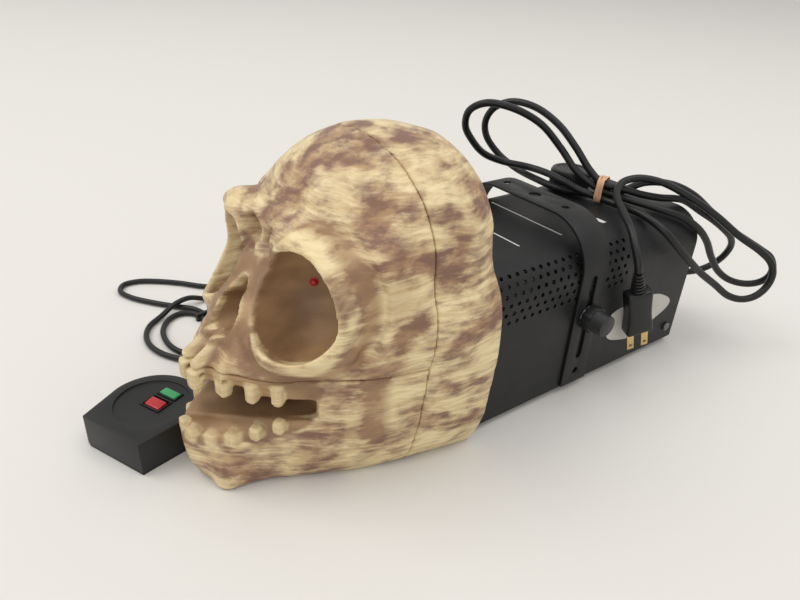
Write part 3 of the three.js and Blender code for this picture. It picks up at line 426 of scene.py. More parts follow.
# painted shade: the temple hollows are darkened, standing for the shade that falls in them
glaze_and_shade = np.maximum(glaze_and_shade, 0.4 * np.clip(1 - np.abs(temple_dip + 1) / 7, 0, 1))
raised = np.clip(1 - np.minimum(np.where(side > 22, lip, 9), nose_lip) / 1.2, 0, 1)
jowl = capsule(side, gy, gz, (73.5, -81.5, 82), (73.5, -80, 42), 5)
glaze_and_shade = np.maximum(glaze_and_shade, 0.7 * np.clip(1 - jowl / 7, 0, 1))
toothy = rise(skin, -5, 2)
toothy = toothy * np.clip(
    1.3 - np.minimum(np.minimum(upper_teeth, lower_teeth), roots + 0.2) / 0.9, 0, 1)


def surface_net(field, low, size):
    """Vertices and quads of the zero surface of a grid of distances."""
    inside = field < 0
    offsets = list(np.ndindex(2, 2, 2))
    corners = [inside[i:inside.shape[0] - 1 + i, j:inside.shape[1] - 1 + j,
                      k:inside.shape[2] - 1 + k] for i, j, k in offsets]
    count = sum(c.astype(np.uint8) for c in corners)
    active = (count > 0) & (count < 8)
    index = np.full(active.shape, -1, np.int64)
    cells = np.argwhere(active)
    index[active] = np.arange(len(cells))
    total = np.zeros((len(cells), 3))
    hits = np.zeros(len(cells))
    for a in offsets:
        for axis in range(3):
            if a[axis]:
                continue
            b = list(a)
            b[axis] = 1
            fa = field[tuple((cells + a).T)]
            fb = field[tuple((cells + b).T)]
            cross = (fa < 0) != (fb < 0)
            share = np.where(cross, fa / np.where(cross, fa - fb, 1), 0)
            point = np.array(a, float) + np.eye(3)[axis] * share[:, None]
            total += np.where(cross[:, None], point, 0)
            hits += cross
    verts = cells + total / hits[:, None]
    quads = []
    for axis in range(3):
        b, c = (axis + 1) % 3, (axis + 2) % 3
        ahead = np.roll(inside, -1, axis)
        flips = inside != ahead
        within = [slice(1, -1)] * 3
        within[axis] = slice(0, -1)
        base = np.argwhere(flips[tuple(within)])
        base[:, [b, c]] += 1
        ring = []
        for db, dc in ((0, 0), (1, 0), (1, 1), (0, 1)):
            cell_at = base.copy()
            cell_at[:, b] -= db
            cell_at[:, c] -= dc
            ring.append(index[tuple(cell_at.T)])
        ring = np.stack(ring, 1)
        outward = inside[tuple(base.T)]
        ring[~outward] = ring[~outward][:, ::-1]
        quads.append(ring)
    quads = np.vstack(quads)
    quads = quads[(quads >= 0).all(axis=1)]
    for _ in range(2):
        near, links = np.zeros_like(verts), np.zeros(len(verts))
        for a, b in ((0, 1), (1, 2), (2, 3), (3, 0)):
            for p, q in ((a, b), (b, a)):
                np.add.at(near, quads[:, p], verts[quads[:, q]])
                np.add.at(links, quads[:, p], 1)
        verts = verts * 0.6 + near / np.maximum(links, 1)[:, None] * 0.4
    return low + size * verts, quads


def sampled(field, points):
    at = (points - low_corner) / cell
    base = np.clip(np.floor(at).astype(int), 0, np.array(field.shape) - 2)
    t = at - base
    value = 0
    for corner in np.ndindex(2, 2, 2):
        near = np.where(corner, t, 1 - t)
        weight = near[:, 0] * near[:, 1] * near[:, 2]
        value = value + weight * field[tuple((base + corner).T)]
    return value


front_of = gy + 48.15
pieces = {
    "skull_face": np.maximum(np.maximum(body, front_of), 90.15 - gz),
    "skull_jaw": np.maximum(np.maximum(body, front_of), gz - 89.85),
    "skull_rear": np.maximum(np.maximum(body, -47.85 - gy), gy - 6),
}
skull_objects = []
for name, field in pieces.items():
    verts, quads = surface_net(field, low_corner, cell)
    mesh = bpy.data.meshes.new(name)
    mesh.vertices.add(len(verts))
    world_verts = verts / 1000
    world_verts[:, 1] += case_front
    mesh.vertices.foreach_set("co", world_verts.astype(np.float32).ravel())
    mesh.loops.add(len(quads) * 4)
    mesh.loops.foreach_set("vertex_index", quads.astype(np.int32).ravel())
    mesh.polygons.add(len(quads))
    mesh.polygons.foreach_set("loop_start", np.arange(0, len(quads) * 4, 4, dtype=np.int32))
    mesh.update(calc_edges=True)
    mesh.validate()
    for label, source in (("glaze_and_shade", glaze_and_shade), ("raised", raised), ("toothy", toothy)):
        layer = mesh.attributes.new(label, "FLOAT", "POINT")
        at_verts = sampled(np.broadcast_to(source, body.shape), verts)
        layer.data.foreach_set("value", at_verts.astype(np.float32))
    mesh.polygons.foreach_set("use_smooth", np.ones(len(mesh.polygons), dtype=bool))
    obj = bpy.data.objects.new(name, mesh)
    scene.collection.objects.link(obj)
    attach(obj, "machine")
    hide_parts(name + "_shell")
    skull_objects.append(obj)

# ---- Finishes ----
# Powder coat, rubber, plated and cast metal, moulded plastic and cord jackets share a fine
# grain that varies colour and roughness and raises a bump; the resin skull has a brown
# glaze with cream dry-brushed over it, and painted shade in its temple hollows. All patterns
# follow object coordinates, and on the skull also its three measures.


def node_group(name, sockets):
    tree = bpy.data.node_groups.new(name, "ShaderNodeTree")
    for label, kind, way, value in sockets:
        socket_item = tree.interface.new_socket(label, in_out=way, socket_type=kind)
        if value is not None:
            socket_item.default_value = value
    return tree, tree.nodes.new("NodeGroupInput"), tree.nodes.new("NodeGroupOutput")


def add_node(tree, kind, inputs=(), **settings):
    """A new node with its settings, each input given a value or linked to a socket."""
    node = tree.nodes.new(kind)
    for label, value in settings.items():
        setattr(node, label, value)
    for key, value in dict(inputs).items():
        if isinstance(value, bpy.types.NodeSocket):
            tree.links.new(value, node.inputs[key])
        else:
            node.inputs[key].default_value = value
    return node


def math_node(tree, operation, a, b=None, clamp=False):
    given = {0: a} if b is None else {0: a, 1: b}
    return add_node(tree, "ShaderNodeMath", given, operation=operation,
                    use_clamp=clamp).outputs[0]


def noise_node(tree, vector, scale, detail=4.0, rough=0.55):
    return add_node(tree, "ShaderNodeTexNoise", {
        "Vector": vector, "Scale": scale, "Detail": detail, "Roughness": rough}).outputs["Fac"]


def range_node(tree, value, low, high, to_low=0.0, to_high=1.0):
    return add_node(tree, "ShaderNodeMapRange", {
        "Value": value, "From Min": low, "From Max": high, "To Min": to_low,
        "To Max": to_high}, interpolation_type="SMOOTHSTEP").outputs["Result"]


def mix_colour(tree, factor, a, b):
    first, second = ((*value, 1) if isinstance(value, tuple) else value for value in (a, b))
    return add_node(tree, "ShaderNodeMix", {0: factor, 6: first, 7: second},
                    data_type="RGBA").outputs[2]


def stretched(tree, vector, scale, turn):
    return add_node(tree, "ShaderNodeMapping", {
        "Vector": vector, "Scale": scale, "Rotation": turn}).outputs["Vector"]


grain, grain_in, grain_out = node_group("grain", (
    ("Colour", "NodeSocketColor", "INPUT", (0.5, 0.5, 0.5, 1)),
    ("Scale", "NodeSocketFloat", "INPUT", 900.0),
    ("Depth", "NodeSocketFloat", "INPUT", 0.2),
    ("Variation", "NodeSocketFloat", "INPUT", 0.15),
    ("Roughness", "NodeSocketFloat", "INPUT", 0.5),
    ("Colour", "NodeSocketColor", "OUTPUT", None),
    ("Roughness", "NodeSocketFloat", "OUTPUT", None),
    ("Normal", "NodeSocketVector", "OUTPUT", None)))
where = grain.nodes.new("ShaderNodeTexCoord").outputs["Object"]
fine = noise_node(grain, where, grain_in.outputs["Scale"], 3.0)
broad = noise_node(grain, where, 28.0, 5.0, 0.6)
shade = add_node(grain, "ShaderNodeMath", {
    0: broad, 1: grain_in.outputs["Variation"], 2: 1.0}, operation="MULTIPLY_ADD").outputs[0]
lift = math_node(grain, "SUBTRACT", shade, math_node(
    grain, "MULTIPLY", grain_in.outputs["Variation"], 0.5))
tinted = add_node(grain, "ShaderNodeVectorMath", {
    0: grain_in.outputs["Colour"], "Scale": lift}, operation="SCALE")
rough = math_node(grain, "ADD", grain_in.outputs["Roughness"],
                  math_node(grain, "MULTIPLY", math_node(grain, "SUBTRACT", broad, 0.5), 0.25))
bump = add_node(grain, "ShaderNodeBump", {
    "Distance": 0.0006, "Strength": grain_in.outputs["Depth"], "Height": fine})
for label, socket in (("Colour", tinted.outputs[0]), ("Roughness", rough),
                      ("Normal", bump.outputs[0])):
    grain.links.new(socket, grain_out.inputs[label])


def finish(name, colour, roughness, scale=900.0, depth=0.2, variation=0.3, metal=0.0, **extra):
    """A Principled surface whose colour, roughness and normal come from the grain group."""
    made = bpy.data.materials.new(name)
    made.use_nodes = True
    tree = made.node_tree
    bsdf = tree.nodes["Principled BSDF"]
    node = add_node(tree, "ShaderNodeGroup", node_tree=grain)
    for label, value in (("Colour", (*colour, 1)), ("Scale", scale), ("Depth", depth),
                         ("Variation", variation), ("Roughness", roughness)):
        node.inputs[label].default_value = value
    for label, target in (("Colour", "Base Color"), ("Roughness", "Roughness"),
                          ("Normal", "Normal")):
        tree.links.new(node.outputs[label], bsdf.inputs[target])
    bsdf.inputs["Metallic"].default_value = metal
    for label, value in extra.items():
        bsdf.inputs[label.replace("_", " ")].default_value = value
    return made


finishes = {
    "case_paint": finish("case_paint", (0.0065, 0.007, 0.0076), 0.46, 2200, 0.25, 0.5,
                         Specular_IOR_Level=0.35),
    "foot_rubber": finish("foot_rubber", (0.02, 0.02, 0.021), 0.75, 1500, 0.3),
    "screw_steel": finish("screw_steel", (0.2, 0.2, 0.205), 0.4, 1800, 0.15, 0.4, 0.9),
    "plate_steel": finish("plate_steel", (0.55, 0.55, 0.54), 0.35, 1400, 0.12, 0.35, 1.0),
    "black_plastic": finish("black_plastic", (0.012, 0.0125, 0.013), 0.4, 1600, 0.25, 0.4,
                            Specular_IOR_Level=0.35),
    "red_lens": finish("red_lens", (0.42, 0.02, 0.025), 0.22, 700, 0.05, 0.5),
    "green_lens": finish("green_lens", (0.035, 0.3, 0.1), 0.24, 700, 0.05, 0.5),
    "tank_plastic": finish("tank_plastic", (0.8, 0.82, 0.8), 0.4, 500, 0.08, 0.1,
                           Subsurface_Weight=0.3),
    "brass": finish("brass", (0.72, 0.52, 0.23), 0.28, 1500, 0.1, 0.3, 1.0),
    "heater_aluminium": finish("heater_aluminium", (0.6, 0.61, 0.62), 0.45, 600, 0.35, 0.3, 1.0),
    "insulation": finish("insulation", (0.8, 0.77, 0.68), 0.9, 800, 0.8, 0.3),
    "silicone": finish("silicone", (0.75, 0.76, 0.74), 0.3, 500, 0.05, 0.1,
                       Transmission_Weight=0.5),
    "board_green": finish("board_green", (0.02, 0.12, 0.05), 0.4, 1200, 0.3, 0.6),
    "cord_black": finish("cord_black", (0.009, 0.0095, 0.01), 0.36, 1100, 0.2, 0.4,
                         Specular_IOR_Level=0.35),
    "band_tan": finish("band_tan", (0.62, 0.36, 0.22), 0.8, 1600, 0.5, 0.6),
}

# Antique resin: brown glaze with cream brushed over it in level streaks, heavier on lips,
# brows and teeth; the bowls and the mouth stay brown, and the temple hollows are painted darker as
# shade.
resin = bpy.data.materials.new("skull_resin")
resin.use_nodes = True
tree = resin.node_tree
bsdf = tree.nodes["Principled BSDF"]
where = tree.nodes.new("ShaderNodeTexCoord").outputs["Object"]
measures = {label: add_node(tree, "ShaderNodeAttribute", attribute_name=label).outputs["Fac"]
            for label in ("glaze_and_shade", "raised", "toothy")}
swirl = add_node(tree, "ShaderNodeTexNoise", {"Scale": 16, "Vector": where})
warped = add_node(tree, "ShaderNodeVectorMath", {
    0: swirl.outputs["Color"], 1: (0.016, 0.016, 0.016), 2: where},
                  operation="MULTIPLY_ADD").outputs[0]
patches = noise_node(tree, stretched(tree, warped, (0.9, 0.75, 1.25), (0, 0.2, 0)), 34, 2, 0.5)
blotches = noise_node(tree, stretched(tree, warped, (1.0, 0.8, 1.7), (0.5, 0.3, 0.2)), 75, 4, 0.6)
streaks = noise_node(tree, stretched(tree, warped, (0.5, 0.42, 3.6), (0.14, -0.1, 0)), 85, 5, 0.65)
scratches = noise_node(tree, stretched(tree, warped, (0.4, 0.35, 6.0), (-0.1, 0.1, 0)), 240, 4, 0.7)
cream = math_node(tree, "MULTIPLY", patches, 2.0)
for layer, weight in ((blotches, 1.0), (streaks, 0.75), (scratches, 0.35)):
    cream = math_node(tree, "ADD", cream, math_node(tree, "MULTIPLY", layer, weight))
cream = range_node(tree, cream, 1.74, 2.42)
cream = math_node(tree, "ADD", cream, math_node(tree, "MULTIPLY", measures["raised"], 0.8))
# the brown measure takes cream away: glaze in the bowls, mouth and gums, and painted shade in the
# temple hollows
cream = math_node(tree, "SUBTRACT", cream, math_node(tree, "MULTIPLY", measures["glaze_and_shade"], 1.1), True)
cream = math_node(tree, "ADD", cream, math_node(tree, "MULTIPLY", measures["toothy"], 0.85), True)
glaze = mix_colour(tree, range_node(tree, blotches, 0.38, 0.62), (0.2, 0.105, 0.07),
                   (0.36, 0.215, 0.115))
# darker browns where the brown measure is high, including the painted shade in the temple hollows
glaze = mix_colour(tree, measures["glaze_and_shade"], glaze, mix_colour(
    tree, range_node(tree, patches, 0.3, 0.7), (0.2, 0.115, 0.055), (0.37, 0.23, 0.115)))
paint = mix_colour(tree, range_node(tree, streaks, 0.35, 0.65), (0.62, 0.48, 0.26),
                   (0.77, 0.64, 0.38))
colour = mix_colour(tree, cream, glaze, paint)
tree.links.new(colour, bsdf.inputs["Base Color"])
tree.links.new(range_node(tree, streaks, 0.3, 0.7, 0.36, 0.52), bsdf.inputs["Roughness"])
bsdf.inputs["Specular IOR Level"].default_value = 0.45
bump = add_node(tree, "ShaderNodeBump", {
    "Strength": 0.35, "Distance": 0.0008,
    "Height": math_node(tree, "ADD", scratches, math_node(tree, "MULTIPLY", streaks, 0.8))})
tree.links.new(bump.outputs[0], bsdf.inputs["Normal"])
finishes["skull_resin"] = resin
for obj in skull_objects:
    obj.data.materials.append(resin)

slot_of = {item["node"]: item["material_slot"] for item in frame["record"]["subparts"]}
for node_name, obj in frame["nodes"].items():
    obj.data.materials.clear()
    obj.data.materials.append(finishes[slot_of[node_name]])
for cord in (mains, remote_lead):
    cord.data.materials.append(finishes["cord_black"])

# ---- Case cover ----
# Folded sheet steel with rounded shoulders, powder coated; round holes are punched through
# both sides and up onto the bends in staggered rows, so the heater can breathe.
def mesh_object(name, mesh, body, slot_name, *nodes):
    """Links a finished mesh as a piece that rides a body, in place of some CAD nodes."""
    obj = bpy.data.objects.new(name, mesh)
    scene.collection.objects.link(obj)
    mesh.materials.clear()
    mesh.materials.append(finishes[slot_name])
    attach(obj, body)
    if nodes:
        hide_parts(*nodes)
    return obj


def mesh_from(shape, name):
    mesh = bpy.data.meshes.new(name)
    shape.to_mesh(mesh)
    shape.free()
    return mesh


def set_down(shape, name, centre, turn):
    """The mesh with its faces pointing out, turned and moved to its place."""
    bmesh.ops.recalc_face_normals(shape, faces=shape.faces)
    bmesh.ops.transform(shape, matrix=Matrix.Translation(centre) @ turn, verts=shape.verts)
    return mesh_from(shape, name)


def node_mesh(node_name, merge=0.00002):
    """A merged copy of a CAD node's mesh, its flat faces joined again."""
    shape = bmesh.new()
    shape.from_mesh(frame["nodes"][node_name].data)
    bmesh.ops.remove_doubles(shape, verts=shape.verts, dist=merge)
    bmesh.ops.dissolve_limit(shape, angle_limit=0.004, verts=shape.verts, edges=shape.edges)
    return mesh_from(shape, node_name + "_copy")


def applied(obj):
    """The object's evaluated mesh with its modifiers built in, and the object removed."""
    bpy.context.view_layer.update()
    depsgraph = bpy.context.evaluated_depsgraph_get()
    mesh = bpy.data.meshes.new_from_object(obj.evaluated_get(depsgraph))
    bpy.data.objects.remove(obj)
    return mesh


def smooth_by_angle(mesh, angle=math.radians(32)):
    """Smooth shading that keeps edges sharper than the angle."""
    mesh.polygons.foreach_set("use_smooth", np.ones(len(mesh.polygons), dtype=bool))
    mesh.set_sharp_from_angle(angle=angle)
    return mesh


vent_pitch, vent_row_step, vent_diameter = 7.9, 6.9, 3.5
vent_rows, vent_columns, vent_first = 6, 18, (26.0, 90.0)
shoulder_x, shoulder_z, shoulder_radius = 42.0, 100.5, 28.0


def tree_with_inputs(name, sizes):
    """A Geometry Nodes tree, its input sockets and its output node, with named sizes."""
    made = bpy.data.node_groups.new(name, "GeometryNodeTree")
    for label, kind, value in (("Geometry", "Geometry", None), *sizes,
                               ("Material", "Material", None)):
        item = made.interface.new_socket(label, in_out="INPUT", socket_type="NodeSocket" + kind)
        if value is not None:
            item.default_value = value
    made.interface.new_socket("Geometry", in_out="OUTPUT", socket_type="NodeSocketGeometry")
    return made, made.nodes.new("NodeGroupInput").outputs, made.nodes.new("NodeGroupOutput")


def end_tree(tree, geometry, material, tree_out):
    """Ends a tree in plain faces with one material."""
    flat = add_node(tree, "GeometryNodeRealizeInstances", {0: geometry})
    coat = add_node(tree, "GeometryNodeSetMaterial", {
        "Geometry": flat.outputs[0], "Material": material})
    tree.links.new(coat.outputs[0], tree_out.inputs[0])


punch, sized, punch_out = tree_with_inputs("punched_vents", (
    ("Pitch", "Float", vent_pitch / 1000), ("Row Step", "Float", vent_row_step / 1000),
    ("Hole Radius", "Float", vent_diameter / 2000), ("Columns", "Int", vent_columns),
    ("Rows", "Int", vent_rows), ("Front", "Float", place(0, vent_first[0], 0)[1]),
    ("Lowest", "Float", vent_first[1] / 1000), ("Bend Radius", "Float", shoulder_radius / 1000),
    ("Bend Height", "Float", shoulder_z / 1000), ("Bend Centre", "Float", shoulder_x / 1000)))


def reckon(operation, a, b=None):
    return math_node(punch, operation, a, b)


grid = add_node(punch, "GeometryNodeMeshLine", {
    "Count": reckon("MULTIPLY", sized["Columns"], sized["Rows"])}, mode="OFFSET")
index = add_node(punch, "GeometryNodeInputIndex").outputs[0]
row = reckon("FLOOR", reckon("DIVIDE", reckon("ADD", index, 0.5), sized["Columns"]))
column = reckon("SUBTRACT", index, reckon("MULTIPLY", row, sized["Columns"]))
stagger = reckon("MULTIPLY", reckon("MODULO", row, 2.0), 0.5)
along_case = reckon("ADD", sized["Front"],
                    reckon("MULTIPLY", reckon("ADD", column, stagger), sized["Pitch"]))
run = reckon("ADD", sized["Lowest"], reckon("MULTIPLY", row, sized["Row Step"]))
past_bend = reckon("MAXIMUM", reckon("SUBTRACT", run, sized["Bend Height"]), 0.0)
turned = reckon("DIVIDE", past_bend, sized["Bend Radius"])
hole_x = reckon("ADD", sized["Bend Centre"],
                reckon("MULTIPLY", reckon("COSINE", turned), sized["Bend Radius"]))
hole_z = reckon("ADD", reckon("MINIMUM", run, sized["Bend Height"]),
                reckon("MULTIPLY", reckon("SINE", turned), sized["Bend Radius"]))
spot = add_node(punch, "ShaderNodeCombineXYZ", {"X": hole_x, "Y": along_case, "Z": hole_z})
turn = add_node(punch, "ShaderNodeCombineXYZ", {"Y": reckon("SUBTRACT", math.pi / 2, turned)})
spread = add_node(punch, "GeometryNodeSetPosition", {
    "Geometry": grid.outputs["Mesh"], "Position": spot.outputs[0]})
punch_pin = add_node(punch, "GeometryNodeMeshCylinder", {
    "Vertices": 12, "Depth": 0.006, "Radius": sized["Hole Radius"]})
pins = add_node(punch, "GeometryNodeInstanceOnPoints", {
    "Points": spread.outputs[0], "Instance": punch_pin.outputs["Mesh"],
    "Rotation": turn.outputs[0]})
one_side = add_node(punch, "GeometryNodeRealizeInstances", {0: pins.outputs[0]})
case_span = reckon("ADD", reckon("MULTIPLY", sized["Front"], 2.0),
                   reckon("MULTIPLY", reckon("SUBTRACT", sized["Columns"], 0.5), sized["Pitch"]))
shift_back = add_node(punch, "ShaderNodeCombineXYZ", {"Y": case_span})
mirrored = add_node(punch, "GeometryNodeTransform", {
    "Rotation": (0, 0, math.pi), "Translation": shift_back.outputs[0],
    "Geometry": one_side.outputs[0]})
both_sides = add_node(punch, "GeometryNodeJoinGeometry")
for half in (one_side, mirrored):
    punch.links.new(half.outputs[0], both_sides.inputs[0])
cut_out = add_node(punch, "GeometryNodeMeshBoolean", {
    "Mesh 1": sized["Geometry"], "Mesh 2": both_sides.outputs[0]},
                   operation="DIFFERENCE", solver="EXACT")
end_tree(punch, cut_out.outputs["Mesh"], sized["Material"], punch_out)


def grown(name, tree, mesh=None, **values):
    """A plain mesh grown by a Geometry Nodes tree from a start mesh and named inputs."""
    carrier = bpy.data.objects.new(name, mesh or bpy.data.meshes.new(name))
    scene.collection.objects.link(carrier)
    modifier = carrier.modifiers.new(name, "NODES")
    modifier.node_group = tree
    for item in tree.interface.items_tree:
        key = item.name.replace(" ", "_").lower()
        if item.item_type == "SOCKET" and item.in_out == "INPUT" and key in values:
            modifier[item.identifier] = values[key]
    return applied(carrier)


cover_mesh = grown("case_cover", punch, node_mesh("top_cover"), material=finishes["case_paint"])
mesh_object("case_cover", smooth_by_angle(cover_mesh), "machine", "case_paint", "top_cover")

# ---- Bracket, panels, feet, screws and fittings with softened edges ----
# Pressed steel and mouldings have no knife edges: each visible piece is a copy of its solid
# with its edges rounded over, powder coated or left as moulded.
body_of = {node: body for body, nodes in frame["record"]["behaviour"]["bodies"].items()
           for node in nodes}


def softened(node_name, width, piece_name=None, angle=30, segments=2):
    """A copy of a node with its edges rounded, in the node's place."""
    piece_name = piece_name or node_name + "_soft"
    carrier = bpy.data.objects.new(piece_name, node_mesh(node_name))
    scene.collection.objects.link(carrier)
    bevel = carrier.modifiers.new("edges", "BEVEL")
    bevel.width, bevel.segments = width / 1000, segments
    bevel.limit_method, bevel.angle_limit = "ANGLE", math.radians(angle)
    mesh = smooth_by_angle(applied(carrier), math.radians(38))
    return mesh_object(piece_name, mesh, body_of[node_name], slot_of[node_name], node_name)


for node_name, width in (("hanging_bracket", 0.5), ("base_tray", 0.3), ("front_panel", 0.3),
                         ("rear_panel", 0.3), ("cover_screw_left", 0.5),
                         ("cover_screw_right", 0.5), ("knob_washer_left", 0.3),
                         ("knob_washer_right", 0.3), ("fuse_holder", 0.5), ("fuse_cap", 0.6),
                         ("remote_socket", 0.6), ("remote_connector", 0.8),
                         ("foot_front_left", 1.2), ("foot_front_right", 1.2),
                         ("foot_rear_left", 1.2), ("foot_rear_right", 1.2),
                         ("clamp_knob_left", 0.5), ("clamp_knob_right", 0.5),
                         ("fog_duct", 0.6), ("cord_gland", 0.8), ("cable_tie", 0.5)):
    softened(node_name, width)

# ---- Filler cap ----
# Moulded screw cap of the fluid tank: a thin-walled cup with a knurled skirt of fine
# vertical ribs and a shallow dished top, turned by hand.
cap_low, cap_high = (Vector(corner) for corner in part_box("tank_cap"))
cap_centre = (cap_low + cap_high) / 2
cap_radius = (cap_high.x - cap_low.x) / 2


def bridged(shape, rings, around):
    """Faces from each ring of points to the next and from the last to the first."""
    for lower, upper in zip(rings, rings[1:] + rings[:1]):
        for i in range(around):
            j = (i + 1) % around
            corners = [lower[i % len(lower)], lower[j % len(lower)],
                       upper[j % len(upper)], upper[i % len(upper)]]
            unique = list(dict.fromkeys(corners))
            if len(unique) > 2:
                shape.faces.new(unique)


def lathed(name, profile, centre, turn=Matrix.Identity(4), steps=48):
    """A closed shell turned round the Z axis from (radius, height) points in metres."""
    shape = bmesh.new()
    rings = []
    for radius, height in profile:
        if radius < 1e-7:
            rings.append([shape.verts.new((0, 0, height))])
        else:
            rings.append([shape.verts.new((radius * math.cos(i * math.tau / steps),
                                           radius * math.sin(i * math.tau / steps), height))
                          for i in range(steps)])
    bridged(shape, rings, steps)
    return set_down(shape, name, centre, turn)


ribs, ribs_in, ribs_out = tree_with_inputs("ribs_round_an_axis", (
    ("Count", "Int", 40), ("Ring Radius", "Float", 0.018), ("Rib Radius", "Float", 0.0008),
    ("Length", "Float", 0.014), ("Centre", "Vector", None), ("Tilt", "Rotation", None)))
ring = add_node(ribs, "GeometryNodeMeshCircle", {
    "Vertices": ribs_in["Count"], "Radius": ribs_in["Ring Radius"]})
rib = add_node(ribs, "GeometryNodeMeshCylinder", {
    "Vertices": 8, "Radius": ribs_in["Rib Radius"], "Depth": ribs_in["Length"]})
placed_ribs = add_node(ribs, "GeometryNodeInstanceOnPoints", {
    "Points": ring.outputs[0], "Instance": rib.outputs["Mesh"]})
moved_ribs = add_node(ribs, "GeometryNodeTransform", {
    "Geometry": placed_ribs.outputs[0], "Translation": ribs_in["Centre"],
    "Rotation": ribs_in["Tilt"]})
with_ribs = add_node(ribs, "GeometryNodeJoinGeometry")
for socket in (ribs_in["Geometry"], moved_ribs.outputs[0]):
    ribs.links.new(socket, with_ribs.inputs[0])
end_tree(ribs, with_ribs.outputs[0], ribs_in["Material"], ribs_out)

cap_height = cap_high.z - cap_low.z
cap_wall, rib_size = 0.0017, 0.0007
skirt = cap_radius - rib_size * 0.7
cap_profile = [(skirt - cap_wall, 0.0), (skirt, 0.0), (skirt, cap_height - 0.0016),
               (skirt - 0.0005, cap_height - 0.0005), (skirt - 0.0018, cap_height),
               (skirt - 0.0035, cap_height), (skirt - 0.0045, cap_height - 0.0008),
               (0, cap_height - 0.0008),
               (0, cap_height - 0.003), (skirt - cap_wall, cap_height - 0.003)]
cap_shell = lathed("cap_shell", cap_profile, (cap_centre.x, cap_centre.y, cap_low.z), steps=64)
cap_mesh = grown("filler_cap", ribs, cap_shell, count=44, ring_radius=skirt - rib_size * 0.1,
                 rib_radius=rib_size, length=cap_height - 0.0035,
                 centre=(cap_centre.x, cap_centre.y, cap_low.z + cap_height / 2 - 0.0005),
                 material=finishes["black_plastic"])
mesh_object("filler_cap", smooth_by_angle(cap_mesh), "cap", "black_plastic", "tank_cap")

# ---- Lamps in the eyes and mouth ----
# Small round lamps pushed through the resin from inside; only a dome and its rim stand
# proud of each bowl.
lamp_tips = (("eye_lamp_right", "eye_led_right", (22.5, -94.9, 136), (0.82, -0.57, 0), "red_lens"),
             ("eye_lamp_left", "eye_led_left", (-22.5, -94.9, 136), (-0.82, -0.57, 0), "red_lens"),
             ("mouth_lamp", "mouth_led", (12, -140, 79.5), (0, 0, -1), "green_lens"))
for lamp_name, node_name, tip, facing, slot_name in lamp_tips:
    aim = Vector(facing).to_track_quat("Z", "Y").to_matrix().to_4x4()
    dome_points = [(0, -0.004), (0.0024, -0.004), (0.0024, -0.0002), (0.0031, 0.0),
                   (0.0031, 0.0005), (0.0025, 0.0006)]
    dome_points += [(0.0024 * math.cos(i * math.pi / 12),
                     0.0008 + 0.0024 * math.sin(i * math.pi / 12))
                    for i in range(7)]
    dome_mesh = lathed(lamp_name, dome_points, place(*tip), aim, 24)
    mesh_object(lamp_name, smooth_by_angle(dome_mesh), "machine", slot_name, node_name)

# ---- Mains plug ----
# Two-pin plug moulded in PVC onto the lead and hanging from the hank: a flat waisted body,
# a ribbed tapered relief, and two thin brass blades, each with a small hole.
plug_top = (82.5, 160.5, 102.7)
plug_turn = Matrix.Rotation(0.33, 4, "X") @ Matrix.Rotation(-0.42, 4, "Z")


def rounded_block(name, low, high, radius, centre, turn, segments=3, edit=None):
    """A block between two corners in mm with rounded edges, turned and put in place."""
    shape = bmesh.new()
    bmesh.ops.create_cube(shape, size=1)
    middle = [(a + b) / 2000 for a, b in zip(low, high)]
    sizes = [(b - a) / 1000 for a, b in zip(low, high)]
    for vert in shape.verts:
        vert.co = [m + v * s for m, v, s in zip(middle, vert.co, sizes)]
    if edit:
        edit(shape)
    bmesh.ops.bevel(shape, geom=list(shape.edges), offset=radius / 1000, segments=segments,
                    affect="EDGES", profile=0.5)
    return set_down(shape, name, centre, turn)


def joined(name, *meshes):
    """Several meshes made one."""
    shape = bmesh.new()
    for mesh in meshes:
        shape.from_mesh(mesh)
    return mesh_from(shape, name)


def waisted(shape):
    """Pulls the block in at its middle and narrows it towards the lead."""
    bmesh.ops.subdivide_edges(shape, edges=[
        e for e in shape.edges if abs((e.verts[0].co - e.verts[1].co).z) > 0.02],
        cuts=4, use_grid_fill=True)
    for vert in shape.verts:
        share = (vert.co.z * 1000 + 62) / 44
        waist = math.sin(math.pi * min(max(share, 0), 1)) ** 2
        pull = 1 - 0.16 * waist - 0.22 * max(share - 0.6, 0)
        vert.co.y *= pull
        vert.co.x *= 1 - 0.06 * share


